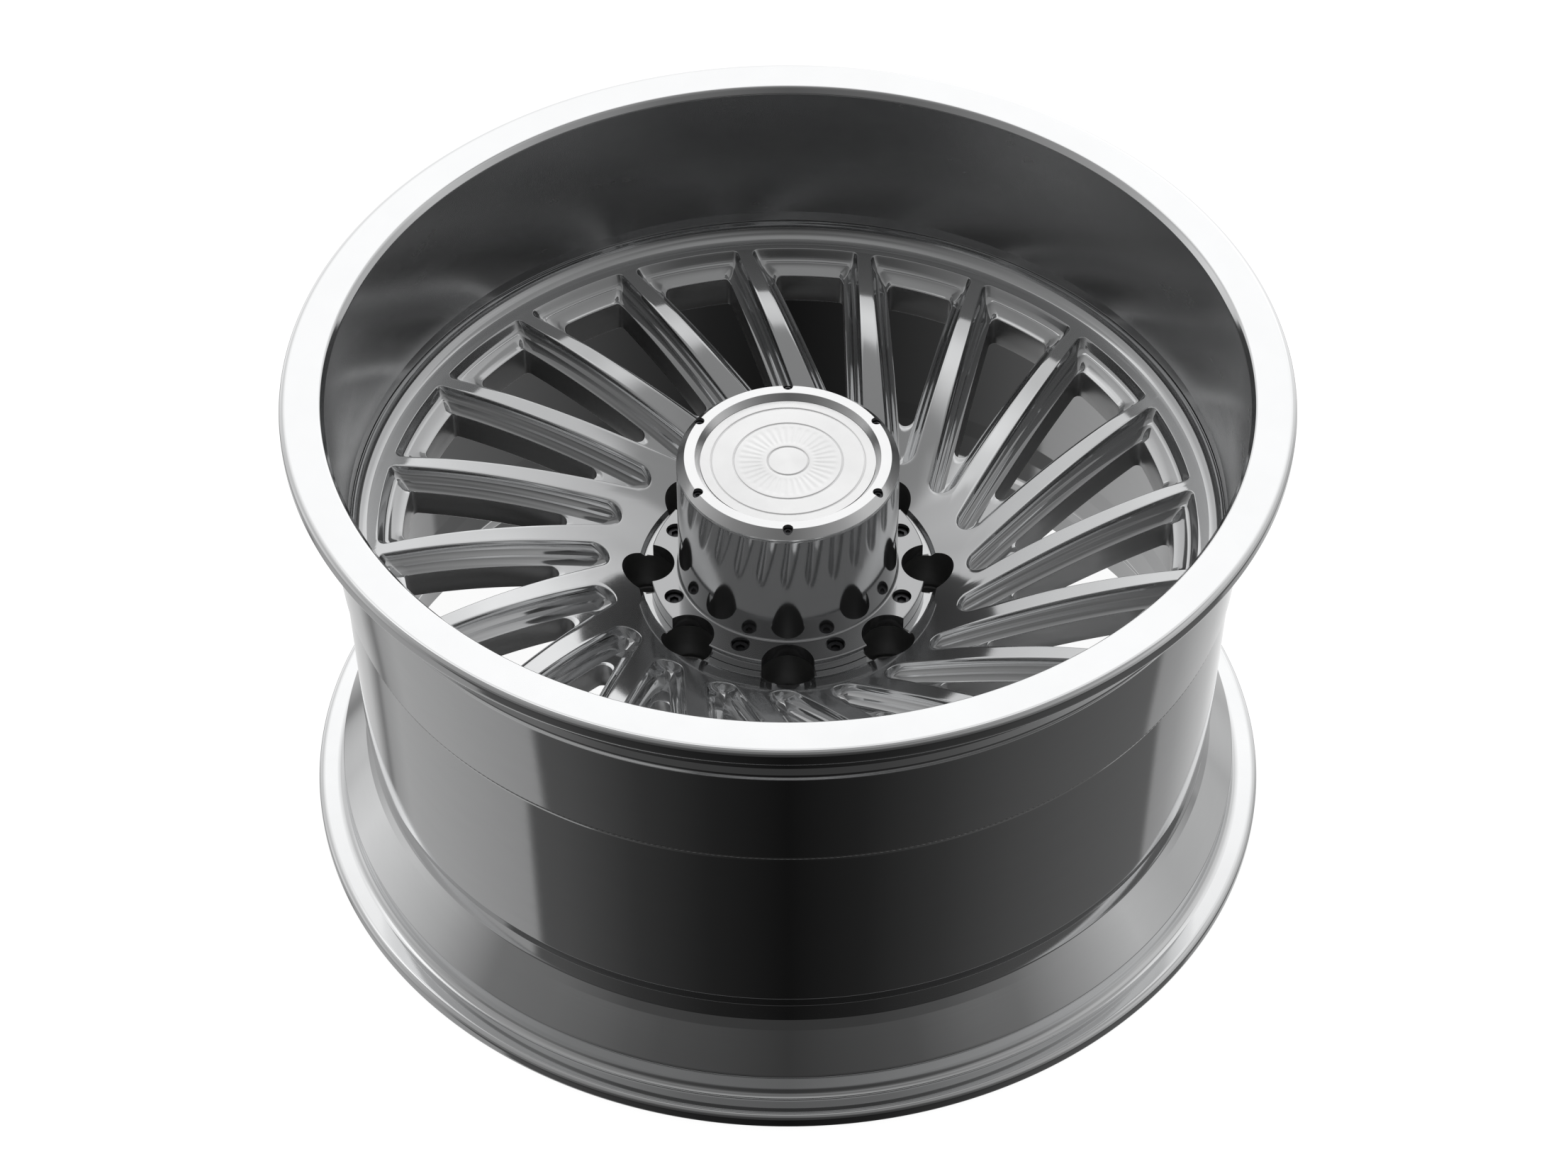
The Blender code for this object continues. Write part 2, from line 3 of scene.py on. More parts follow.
import bmesh
import bpy
import numpy as np
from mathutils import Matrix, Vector


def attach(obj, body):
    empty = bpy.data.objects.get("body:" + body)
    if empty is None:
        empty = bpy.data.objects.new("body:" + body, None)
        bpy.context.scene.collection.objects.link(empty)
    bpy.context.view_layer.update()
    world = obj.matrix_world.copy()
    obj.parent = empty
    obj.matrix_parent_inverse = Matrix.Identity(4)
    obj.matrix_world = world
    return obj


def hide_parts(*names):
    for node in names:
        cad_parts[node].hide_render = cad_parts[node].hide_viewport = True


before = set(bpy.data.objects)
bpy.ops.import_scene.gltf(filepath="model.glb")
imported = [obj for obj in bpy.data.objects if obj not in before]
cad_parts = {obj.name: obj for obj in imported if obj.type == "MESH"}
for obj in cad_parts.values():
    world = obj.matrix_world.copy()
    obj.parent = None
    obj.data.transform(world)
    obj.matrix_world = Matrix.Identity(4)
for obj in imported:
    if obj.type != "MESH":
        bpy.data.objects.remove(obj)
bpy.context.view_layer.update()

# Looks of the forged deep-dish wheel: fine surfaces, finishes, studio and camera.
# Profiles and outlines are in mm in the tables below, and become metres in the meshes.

MM = 0.001
TAU = math.tau

# Driving sizes, in mm, the same as the CAD model's
RIM_RADIUS = 297.0
RIM_WIDTH = 326.0
SEAM_HEIGHT = 209.7
SEAM_RADIUS = 270.2
CENTRE_RADIUS = 262.0
GAP = 0.3
RING_HEIGHT = 215.0
RING_RADIUS = 254.0
WINDOW_RADIUS = 246.4
SPOKE_DEPTH = 30.0
EDGE_BOTTOM = RING_HEIGHT - SPOKE_DEPTH - 4.0
HUB_RADIUS = 104.0
HUB_BACK_RADIUS = 106.0
HUB_BACK = 119.0
BORE_RADIUS = 62.55
CAP_SEAT = 166.0
SPOKE_COUNT = 20
HIGH_SIDE = math.radians(-68.4)
HIGH_OFFSET = 67.85
LOW_SIDE = math.radians(-88.6)
LOW_OFFSET = 50.15
SPOKE_LINE = (HIGH_SIDE + LOW_SIDE) / 2 - math.radians(9.0)
SPOKE_OFFSET = (HIGH_OFFSET + LOW_OFFSET) / 2
LUG_CIRCLE = 85.0
LUG_COUNT = 8
FIRST_LUG = -math.pi / 2
FIRST_FLANGE_SCREW = FIRST_LUG + math.pi / LUG_COUNT
LUG_POCKET_RADIUS = 16.0
LUG_POCKET_TOP = 175.0
LUG_POCKET_BOTTOM = 125.0
FLANGE_SCREW_CIRCLE = 74.4
LID_SCREW_CIRCLE = 61.3
LID_SCREW_COUNT = 6
CAP_FLANGE_TOP = 175.4
SLEEVE_RADIUS = 66.6
SLEEVE_TOP = 258.5
LID_TOP = 265.0
EMBLEM_RADIUS = 52.2
EMBLEM_TOP = 261.2
VALVE_HEIGHT = 84.0
VALVE_SEAT = 262.6

RIM_STEPS = 360
HUB_STEPS = 240
CAP_STEPS = 256
SHARP_ANGLE = math.radians(32.0)


# Surfaces

def grid_quads(rows, columns, close_rows=False, close_columns=True):
    """Faces between neighbouring points of a grid of rows and columns."""
    i = np.arange(rows if close_rows else rows - 1)[:, None]
    j = np.arange(columns if close_columns else columns - 1)[None, :]
    after_i = (i + 1) % rows
    after_j = (j + 1) % columns
    corners = (i * columns + j, i * columns + after_j, after_i * columns + after_j, after_i * columns + j)
    return np.stack(np.broadcast_arrays(*corners), axis=-1).reshape(-1, 4)


def rounded(corners, arc_steps=5, support=0.7):
    """Profile through (radius, height, rounding) corners, with an arc at each rounded corner.

    An arc touches both sides of its corner.  A support point stands just beside each of its
    ends, so that the straight stretches stay straight when they are shaded smooth.
    """
    points = []
    count = len(corners)
    for index, (radius, height, rounding) in enumerate(corners):
        here = np.array([radius, height])
        if rounding == 0.0:
            points.append(here)
            continue
        to_before = np.array(corners[index - 1][:2]) - here
        to_after = np.array(corners[(index + 1) % count][:2]) - here
        to_before /= np.linalg.norm(to_before)
        to_after /= np.linalg.norm(to_after)
        half = math.acos(float(np.clip(to_before @ to_after, -1.0, 1.0))) / 2
        reach = rounding / math.tan(half)
        middle = (to_before + to_after) / np.linalg.norm(to_before + to_after)
        centre = here + middle * rounding / math.sin(half)
        start = here + to_before * reach - centre
        end = here + to_after * reach - centre
        sweep = math.pi - 2 * half
        beside = min(support, rounding)
        points.append(centre + start + to_before * beside)
        for share in np.linspace(0.0, 1.0, arc_steps + 1):
            blend = math.sin((1 - share) * sweep) * start + math.sin(share * sweep) * end
            points.append(centre + blend / math.sin(sweep))
        points.append(centre + end + to_after * beside)
    return np.array(points)


def round_axle(radius, angle, height):
    """Points (radius cos angle, radius sin angle, height)."""
    return np.stack(np.broadcast_arrays(radius * np.cos(angle), radius * np.sin(angle), height), axis=-1)


def turned(profile, steps, first=0.0, closed=True):
    """Profile turned about Z: x = r cos a, y = r sin a, z = height, for evenly spaced angles a."""
    angle = first + np.arange(steps) * TAU / steps
    points = round_axle(profile[:, :1], angle, profile[:, 1:2])
    return points.reshape(-1, 3), grid_quads(len(profile), steps, close_rows=closed)


def joined(parts):
    """One list of points and one of faces from several (points, faces) pairs."""
    offsets = np.cumsum([0] + [len(points) for points, _ in parts[:-1]])
    points = np.concatenate([points for points, _ in parts])
    quads = np.concatenate([quads + offset for (_, quads), offset in zip(parts, offsets)])
    return points, quads


def on_circle(surface, radius, count, first):
    """Copies of a surface, moved to evenly spaced places on a circle round the axle."""
    points, quads = surface
    copies = []
    for index in range(count):
        angle = first + index * TAU / count
        copies.append((points + (radius * math.cos(angle), radius * math.sin(angle), 0.0), quads))
    return joined(copies)


def make_mesh(name, surface, merge=0.001):
    """Mesh in metres from a surface in mm, with doubles merged and its faces pointing out.

    The sum of corner . (corner x corner) over the triangles is six times the volume, so a
    negative sum means that every face is turned round.
    """
    points, quads = surface
    a, b, c, d = (points[quads[:, k]] for k in range(4))
    volume = np.sum(a * np.cross(b, c)) + np.sum(a * np.cross(c, d))
    if volume < 0:
        quads = quads[:, ::-1]
    mesh = bpy.data.meshes.new(name)
    mesh.from_pydata((points * MM).tolist(), [], quads.tolist())
    shape = bmesh.new()
    shape.from_mesh(mesh)
    bmesh.ops.remove_doubles(shape, verts=shape.verts, dist=merge * MM)
    bmesh.ops.dissolve_degenerate(shape, edges=shape.edges, dist=merge * MM * 0.5)
    shape.to_mesh(mesh)
    shape.free()
    return mesh


def smooth(mesh):
    """Shade a mesh smooth, apart from its sharp edges."""
    mesh.shade_smooth()
    mesh.set_sharp_from_angle(angle=SHARP_ANGLE)


def cut_out(mesh, *cutters):
    """The mesh with each cutter's space taken out of it."""
    item = bpy.data.objects.new("blank", mesh)
    bpy.context.scene.collection.objects.link(item)
    tools = []
    for cutter in cutters:
        tool = bpy.data.objects.new("tool", cutter)
        bpy.context.scene.collection.objects.link(tool)
        boolean = item.modifiers.new("cut", "BOOLEAN")
        boolean.operation = "DIFFERENCE"
        boolean.solver = "EXACT"
        boolean.object = tool
        tools.append(tool)
    graph = bpy.context.evaluated_depsgraph_get()
    result = bpy.data.meshes.new_from_object(item.evaluated_get(graph))
    for extra in [item] + tools:
        bpy.data.objects.remove(extra)
    result.materials.clear()
    return result


def second_finish(mesh, material, inside):
    """Give a second finish to the faces whose centres (radius, height, angle) pass a test."""
    centres = np.zeros(len(mesh.polygons) * 3)
    mesh.polygons.foreach_get("center", centres)
    x, y, z = centres.reshape(-1, 3).T / MM
    chosen = inside(np.hypot(x, y), z, np.arctan2(y, x))
    slots = np.zeros(len(mesh.polygons), dtype=np.int32)
    mesh.polygons.foreach_get("material_index", slots)
    slots[chosen] = len(mesh.materials)
    mesh.materials.append(material)
    mesh.polygons.foreach_set("material_index", slots)


def in_lug_pocket(radius, height, angle):
    """True on the walls and floors of the lug pockets, within a pocket's radius of its axis: the faces that
    get the painted shade.
    """
    step = TAU / LUG_COUNT
    turn = (angle - FIRST_LUG + step / 2) % step - step / 2
    across = radius * np.sin(turn)
    along = radius * np.cos(turn) - LUG_CIRCLE
    within = np.hypot(across, along) < LUG_POCKET_RADIUS + 0.02
    return within & (height < LUG_POCKET_TOP) & (height > LUG_POCKET_BOTTOM)


def in_through_hole(radius, height, angle):
    """True on the walls of the holes through the windows, below their ledges and floors."""
    below_ledge = height < face_height(radius) - 12.6
    above_back = height > back_height(radius) + 0.4
    return (radius > 112.0) & (radius < 240.0) & below_ledge & above_back


def on_dish_wall(radius, height, angle):
    """True inside the front rim half, below its lip."""
    return (radius < 272.0) & (height < 322.6)


def piece(name, mesh, material, nodes, body="wheel"):
    """Put a finished mesh in the scene, on its body, in place of its CAD nodes."""
    item = bpy.data.objects.new(name, mesh)
    bpy.context.scene.collection.objects.link(item)
    mesh.name = name
    mesh.materials.append(material)
    smooth(mesh)
    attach(item, body)
    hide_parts(*nodes)
    return item


# Node helpers

def add_node(tree, kind, inputs=None, **settings):
    """Add a shader node, with its settings and its unlinked input values."""
    node = tree.nodes.new(kind)
    for key, value in settings.items():
        setattr(node, key, value)
    for key, value in (inputs or {}).items():
        node.inputs[key].default_value = value
    return node


def math_node(tree, operation, first, second=0.0, third=0.0):
    """Add a math node whose inputs are sockets or numbers, and return its output."""
    node = add_node(tree, "ShaderNodeMath", operation=operation)
    for index, value in enumerate((first, second, third)):
        if isinstance(value, (int, float)):
            node.inputs[index].default_value = value
        else:
            tree.links.new(value, node.inputs[index])
    return node.outputs[0]


def ramp_node(tree, factor, stops):
    """Add a colour ramp of grey stops (position, value), and return its colour."""
    node = add_node(tree, "ShaderNodeValToRGB")
    node.color_ramp.interpolation = "LINEAR"
    elements = node.color_ramp.elements
    while len(elements) < len(stops):
        elements.new(0.5)
    for element, (position, value) in zip(elements, stops):
        element.position = position
        element.color = (value, value, value, 1.0)
    tree.links.new(factor, node.inputs["Fac"])
    return node.outputs["Color"]


def new_group(name, inputs, outputs):
    """Start a shader node group with named float inputs (name, default) and float outputs."""
    group = bpy.data.node_groups.new(name, "ShaderNodeTree")
    for label, default in inputs:
        socket = group.interface.new_socket(name=label, in_out="INPUT", socket_type="NodeSocketFloat")
        socket.default_value = default
    for label in outputs:
        group.interface.new_socket(name=label, in_out="OUTPUT", socket_type="NodeSocketFloat")
    return group, group.nodes.new("NodeGroupInput"), group.nodes.new("NodeGroupOutput")


def noise_node(tree, vector, scale, detail, rough=0.5, stretch=None):
    """Add a noise texture on a vector, stretched if asked, and return its factor."""
    if stretch is not None:
        mapping = add_node(tree, "ShaderNodeMapping", {"Scale": stretch})
        tree.links.new(vector, mapping.inputs["Vector"])
        vector = mapping.outputs["Vector"]
    noise = add_node(tree, "ShaderNodeTexNoise", {"Scale": scale, "Detail": detail, "Roughness": rough})
    tree.links.new(vector, noise.inputs["Vector"])
    return noise.outputs["Fac"]


def turned_lines_group():
    """Fine lathe lines: noise read along the distance from the axle, with a slow waver."""
    group, entry, leave = new_group("turned_lines", [("Line Density", 3000.0), ("Waver", 0.2)], ["Height"])
    coordinates = add_node(group, "ShaderNodeTexCoord").outputs["Object"]
    split = add_node(group, "ShaderNodeSeparateXYZ")
    group.links.new(coordinates, split.inputs[0])
    x, y, z = split.outputs
    radius = math_node(group, "SQRT", math_node(group, "ADD", math_node(group, "MULTIPLY", x, x),
                                                math_node(group, "MULTIPLY", y, y)))
    along = math_node(group, "ADD", radius, math_node(group, "MULTIPLY", z, 0.83))
    place = math_node(group, "MULTIPLY", along, entry.outputs["Line Density"])
    lines = add_node(group, "ShaderNodeTexNoise", {"Scale": 1.0, "Detail": 3.0, "Roughness": 0.6},
                     noise_dimensions="1D")
    group.links.new(place, lines.inputs["W"])
    waver = math_node(group, "MULTIPLY", noise_node(group, coordinates, 14.0, 2.0), entry.outputs["Waver"])
    height = math_node(group, "ADD", lines.outputs["Fac"], waver)
    group.links.new(height, leave.inputs["Height"])
    return group


def polish_haze_group():
    """Cloudy polish: roughness and shade that drift over the surface, with faint smears."""
    group, entry, leave = new_group(
        "polish_haze", [("Roughness", 0.1), ("Spread", 0.05), ("Dulling", 0.1)], ["Roughness", "Shade"])
    coordinates = add_node(group, "ShaderNodeTexCoord").outputs["Object"]
    clouds = noise_node(group, coordinates, 9.0, 5.0, 0.6)
    smears = noise_node(group, coordinates, 26.0, 6.0, 0.7, stretch=(1.0, 1.0, 4.0))
    both = math_node(group, "MULTIPLY", clouds, smears)
    centred = math_node(group, "SUBTRACT", both, 0.25)
    spread = math_node(group, "MULTIPLY", centred, entry.outputs["Spread"])
    group.links.new(math_node(group, "MULTIPLY_ADD", spread, 4.0, entry.outputs["Roughness"]),
                    leave.inputs["Roughness"])
    loss = math_node(group, "MULTIPLY", smears, entry.outputs["Dulling"])
    group.links.new(math_node(group, "SUBTRACT", 1.0, loss), leave.inputs["Shade"])
    return group


def hairlines_group():
    """Handling marks: hairline scratches in three directions, thin ridges of stretched noise."""
    group, entry, leave = new_group("hairlines", [("Amount", 0.3)], ["Height"])
    coordinates = add_node(group, "ShaderNodeTexCoord").outputs["Object"]
    total = None
    for turn, stretch in ((0.3, (380.0, 9.0, 60.0)), (1.4, (460.0, 14.0, 80.0)), (2.5, (320.0, 7.0, 50.0))):
        mapping = add_node(group, "ShaderNodeMapping", {"Rotation": (0.0, 0.2, turn), "Scale": stretch})
        group.links.new(coordinates, mapping.inputs["Vector"])
        noise = add_node(group, "ShaderNodeTexNoise", {"Scale": 1.0, "Detail": 2.0})
        group.links.new(mapping.outputs["Vector"], noise.inputs["Vector"])
        ridge = math_node(group, "ABSOLUTE", math_node(group, "SUBTRACT", noise.outputs["Fac"], 0.5))
        line = math_node(group, "LESS_THAN", ridge, 0.006)
        total = line if total is None else math_node(group, "ADD", total, line)
    group.links.new(math_node(group, "MULTIPLY", total, entry.outputs["Amount"]), leave.inputs["Height"])
    return group


TURNED_LINES = turned_lines_group()
POLISH_HAZE = polish_haze_group()
HAIRLINES = hairlines_group()


def place_group(tree, group, **values):
    """Place a node group, with values for its named inputs."""
    node = add_node(tree, "ShaderNodeGroup", node_tree=group)
    for key, value in values.items():
        node.inputs[key.replace("_", " ")].default_value = value
    return node


def start_finish(name, colour, roughness, spread, dulling):
    """Start a material whose base colour and roughness drift with the polish haze."""
    material = bpy.data.materials.new(name)
    material.use_nodes = True
    tree = material.node_tree
    shader = tree.nodes["Principled BSDF"]
    haze = place_group(tree, POLISH_HAZE, Roughness=roughness, Spread=spread, Dulling=dulling)
    tint = add_node(tree, "ShaderNodeMix", {"Factor": 1.0}, data_type="RGBA", blend_type="MULTIPLY")
    tint.inputs["A"].default_value = (*colour, 1.0)
    tree.links.new(haze.outputs["Shade"], tint.inputs["B"])
    tree.links.new(tint.outputs["Result"], shader.inputs["Base Color"])
    tree.links.new(haze.outputs["Roughness"], shader.inputs["Roughness"])
    return material, tree, shader


def add_bump(tree, shader, height, strength, distance):
    """Tilt a shader's surface by a height, at most a distance in metres."""
    bump = add_node(tree, "ShaderNodeBump", {"Strength": strength, "Distance": distance})
    tree.links.new(height, bump.inputs["Height"])
    tree.links.new(bump.outputs["Normal"], shader.inputs["Normal"])


def metal(name, colour, roughness, spread=0.05, dulling=0.1, density=3000.0, line_depth=0.02,
          hairline=0.15, anisotropy=0.0, bare=1.0):
    """Metal finish: base colour, hazy polish, fine lathe lines and hairline marks.

    bare is the share of clean metal; the rest is a thin dull film.
    """
    material, tree, shader = start_finish(name, colour, roughness, spread, dulling)
    shader.inputs["Metallic"].default_value = bare
    shader.inputs["Anisotropic"].default_value = anisotropy
    lines = place_group(tree, TURNED_LINES, Line_Density=density, Waver=0.2)
    marks = place_group(tree, HAIRLINES, Amount=hairline)
    height = math_node(tree, "SUBTRACT", lines.outputs["Height"], marks.outputs["Height"])
    add_bump(tree, shader, height, line_depth, 0.0002)
    return material


def moulded(name, colour, roughness, grain=2500.0, depth=0.3):
    """Rubber or plastic: fine moulded grain with slightly uneven roughness and shade."""
    material, tree, shader = start_finish(name, colour, roughness, 0.1, 0.35)
    coordinates = add_node(tree, "ShaderNodeTexCoord").outputs["Object"]
    add_bump(tree, shader, noise_node(tree, coordinates, grain, 3.0), depth, 0.0001)
    return material


POLISHED_RIM = metal("polished_rim", (0.83, 0.835, 0.84), 0.055, 0.03, 0.06, 2600.0, 0.012)
DISH_WALL = metal("satin_dish_wall", (0.50, 0.502, 0.505), 0.24, 0.06, 0.10, 2200.0, 0.05)
POLISHED_CENTRE = metal("polished_centre", (0.58, 0.585, 0.59), 0.075, 0.03, 0.06, 3400.0, 0.008, 0.05,
                        bare=0.93)
MILLED_WALL = metal("milled_window_wall", (0.62, 0.622, 0.625), 0.38, 0.08, 0.15, 900.0, 0.06)
# Lug pockets: a rougher, duller finish with painted shade, a dark grey base colour that darkens the recesses
# where shade falls.
LUG_POCKET_PAINTED_SHADE = metal("lug_pocket_painted_shade", (0.24, 0.24, 0.24), 0.42, 0.08, 0.30, 1500.0, 0.10, bare=0.7)
POLISHED_SLEEVE = metal("polished_sleeve", (0.42, 0.423, 0.427), 0.085, 0.03, 0.05, 2400.0, 0.015, bare=0.93)
MACHINED_LID = metal("machined_lid", (0.81, 0.812, 0.815), 0.16, 0.05, 0.05, 3800.0, 0.07, 0.1, 0.3)
BRUSHED_EMBLEM = metal("brushed_emblem", (0.84, 0.84, 0.84), 0.30, 0.08, 0.06, 5200.0, 0.10, 0.1, 0.4)
WELD_BEAD = metal("weld_bead", (0.70, 0.70, 0.70), 0.30, 0.15, 0.25, 900.0, 0.10, 0.0)
BLACK_OXIDE = metal("black_oxide_screw", (0.10, 0.10, 0.105), 0.34, 0.10, 0.4, 6000.0, 0.15, 0.3)
NICKEL = metal("nickel_valve", (0.72, 0.69, 0.64), 0.20, 0.08, 0.15, 4000.0, 0.08, 0.2)
BRASS = metal("valve_brass", (0.78, 0.58, 0.28), 0.28, 0.08, 0.2, 5000.0, 0.1, 0.2)
RUBBER = moulded("valve_rubber", (0.022, 0.022, 0.023), 0.72)
PLASTIC = moulded("valve_cap_plastic", (0.03, 0.03, 0.032), 0.48, 1800.0, 0.4)


# Rim halves and welds

def front_rim():
    """Front rim half: rounded lip and flange, bead seat, hump and cone outside, dish wall inside."""
    back = RIM_WIDTH - 11.0
    profile = rounded([
        (RIM_RADIUS, RIM_WIDTH, 3.4),
        (RIM_RADIUS, back, 3.4),
        (279.6, back, 5.5),
        (278.2, back - 21.0, 3.0),
        (280.4, back - 25.5, 3.0),
        (276.9, back - 32.0, 4.0),
        (SEAM_RADIUS, SEAM_HEIGHT + 1.5, 0.0),
        (CENTRE_RADIUS + GAP, SEAM_HEIGHT + 1.5, 0.0),
        (CENTRE_RADIUS + GAP, 226.0, 0.5),
        (263.4, 231.7, 2.5),
        (270.6, 322.0, 1.6),
        (273.4, RIM_WIDTH, 1.8),
    ], arc_steps=6)
    return make_mesh("front_rim", turned(profile, RIM_STEPS))


def rear_rim():
    """Rear rim half: drop centre, cone, bead seat and flange outside, the barrel inside."""
    joint = SEAM_HEIGHT - 1.5
    profile = rounded([
        (SEAM_RADIUS - 1.6, joint, 0.4),
        (SEAM_RADIUS - 2.0, joint - 2.0, 0.4),
        (264.0, 80.0, 3.0),
        (261.5, 71.0, 2.5),
        (261.5, 58.0, 2.5),
        (264.5, 52.0, 2.5),
        (280.6, 27.6, 1.6),
        (279.0, 25.0, 1.6),
        (279.6, 11.0, 5.5),
        (RIM_RADIUS, 11.0, 3.6),
        (RIM_RADIUS, 0.0, 3.6),
        (273.0, 0.0, 1.5),
        (270.0, 4.0, 2.0),
        (267.5, 26.0, 8.0),
        (254.8, 50.0, 8.0),
        (254.8, 70.0, 6.0),
        (256.8, 82.0, 6.0),
        (257.6, 172.0, 2.0),
        (CENTRE_RADIUS + GAP, 177.0, 1.0),
        (CENTRE_RADIUS + GAP, joint, 0.0),
    ])
    mesh = make_mesh("rear_rim", turned(profile, RIM_STEPS))
    hole = rounded([
        (0.0, 20.0, 0.0), (9.6, 20.0, 0.0), (9.6, 6.0, 0.0), (5.0, 6.0, 0.0),
        (5.0, 0.0, 0.0), (10.0, 0.0, 0.0), (10.0, -10.0, 0.0), (0.0, -10.0, 0.0)])
    points, quads = turned(hole, 48, closed=False)
    return cut_out(mesh, make_mesh("valve_hole", (on_valve_axis(points), quads)))


def on_valve_axis(points):
    """Turn points from a Z axis to the valve's axis: height runs from its seat to the axle."""
    x, y, z = points[:, 0], points[:, 1], points[:, 2]
    return np.stack((x, VALVE_SEAT - z, VALVE_HEIGHT + y), axis=-1)


def weld_ring(corners, ripple, beads):
    """Ring of weld metal: a turned profile whose outer side ripples once for each bead."""
    profile = rounded(corners, arc_steps=3, support=0.2)
    steps = 1440
    points, quads = turned(profile, steps)
    angle = np.tile(np.arange(steps) * TAU / steps, len(profile))
    radius = np.hypot(points[:, 0], points[:, 1])
    middle = (profile[:, 0].min() + profile[:, 0].max()) / 2
    side = np.clip((radius - middle) / (profile[:, 0].max() - middle), -1.0, 1.0)
    scale = 1.0 - ripple * np.maximum(side, 0.0) * (0.5 + 0.5 * np.cos(angle * beads)) / radius
    points[:, :2] *= scale[:, None]
    return make_mesh("weld", (points, quads))


def build_rim():
    """Both rim halves and the two weld rings."""
    front = piece("front_rim_surface", front_rim(), POLISHED_RIM, ["front_rim_half"])
    second_finish(front.data, DISH_WALL, on_dish_wall)
    piece("rear_rim_surface", rear_rim(), POLISHED_RIM, ["rear_rim_half"])
    girth = weld_ring([
        (SEAM_RADIUS - 0.6, SEAM_HEIGHT + 1.2, 0.0),
        (SEAM_RADIUS - 0.3, SEAM_HEIGHT, 0.0),
        (SEAM_RADIUS - 1.8, SEAM_HEIGHT - 1.2, 0.0),
        (CENTRE_RADIUS + 2 * GAP, SEAM_HEIGHT - 1.2, 0.0),
        (CENTRE_RADIUS + 2 * GAP, SEAM_HEIGHT + 1.2, 0.0),
    ], 0.25, 480)
    piece("girth_weld_bead", girth, WELD_BEAD, ["girth_weld"])
    fillet = weld_ring([
        (257.2, EDGE_BOTTOM - GAP, 0.0),
        (257.2, EDGE_BOTTOM - 8.0, 0.6),
        (253.6, EDGE_BOTTOM - 4.4, 1.5),
        (250.0, EDGE_BOTTOM - GAP, 0.6),
    ], 0.0, 1)
    piece("centre_weld_bead", fillet, WELD_BEAD, ["centre_weld"])


# Forged centre

# The back's fixed depth runs between these radii
ROOT_RADIUS = 124.0
WEB_RADIUS = 238.0

# Points of a window's wall round each part of its outline
INNER_COUNT = 13
SIDE_COUNT = 20
CORNER_COUNT = 7
OUTER_COUNT = 11
LINE_COUNT = SIDE_COUNT + CORNER_COUNT // 2 + 1
EDGE_COUNT = OUTER_COUNT + 2 * (CORNER_COUNT // 2)


def face_height(radius):
    """Height of the face: a flat ring, then a spoke surface that steepens towards the hub."""
    inward = np.maximum(WINDOW_RADIUS - radius, 0.0)
    return RING_HEIGHT - 0.08 * inward - 0.0014 * inward * inward


def back_height(radius):
    """Height of the back: a fixed depth below the face, falling to the hub pad near the hub."""
    web = face_height(radius) - SPOKE_DEPTH
    root_end = float(face_height(ROOT_RADIUS)) - SPOKE_DEPTH
    root = np.interp(radius, [HUB_BACK_RADIUS, 110.0, ROOT_RADIUS], [HUB_BACK, 128.0, root_end])
    web_end = float(face_height(WEB_RADIUS)) - SPOKE_DEPTH
    rim = np.interp(radius, [WEB_RADIUS, CENTRE_RADIUS], [web_end, EDGE_BOTTOM])
    return np.where(radius < ROOT_RADIUS, root, np.where(radius > WEB_RADIUS, rim, web))


def bend(start, radius, first, last, count):
    """Arc of a wall section that starts at (inset, depth), without its first point.

    The wall's normal turns from one elevation to another, in degrees: rising in a hollow
    bend, falling over an edge.
    """
    turn = np.radians(np.linspace(first, last, count + 1)[1:])
    begin = math.radians(first)
    sign = 1.0 if last > first else -1.0
    inset = start[0] + sign * radius * (math.cos(begin) - np.cos(turn))
    depth = start[1] + sign * radius * (np.sin(turn) - math.sin(begin))
    return np.stack((inset, depth), axis=-1)


def run(start, end, count):
    """Straight stretch of a wall section, without its first point."""
    share = np.linspace(0.0, 1.0, count + 1)[1:, None]
    return np.array(start) * (1 - share) + np.array(end) * share


def side_section():
    """Side wall of a window as (inset, depth below the face), from the face to the back.

    A small edge, a hollow cove, a crest, a second cove, a narrow floor, the edge of the
    through hole, its wall, and the back edge.
    """
    turn = np.radians(np.linspace(0.0, 85.0, 5))
    edge = np.stack((0.6 * np.sin(turn) - 0.6, 0.6 - 0.6 * np.cos(turn)), axis=-1)
    cove = bend(edge[-1], 9.0, 5.0, 57.0, 9)
    crest = bend(cove[-1], 0.9, 57.0, 30.0, 3)
    second = bend(crest[-1], 11.0, 30.0, 62.0, 7)
    floor = run(second[-1], (8.9, 11.9), 5)
    lip = bend(floor[-1], 0.5, 62.0, 2.0, 4)
    wall = run(lip[-1], (9.4, SPOKE_DEPTH - 0.8), 3)
    turn = np.radians(np.linspace(0.0, 90.0, 5)[1:])
    back = np.stack((8.6 + 0.8 * np.cos(turn), SPOKE_DEPTH - 0.8 + 0.8 * np.sin(turn)), axis=-1)
    return np.concatenate((edge, cove, crest, second, floor, lip, wall, back))


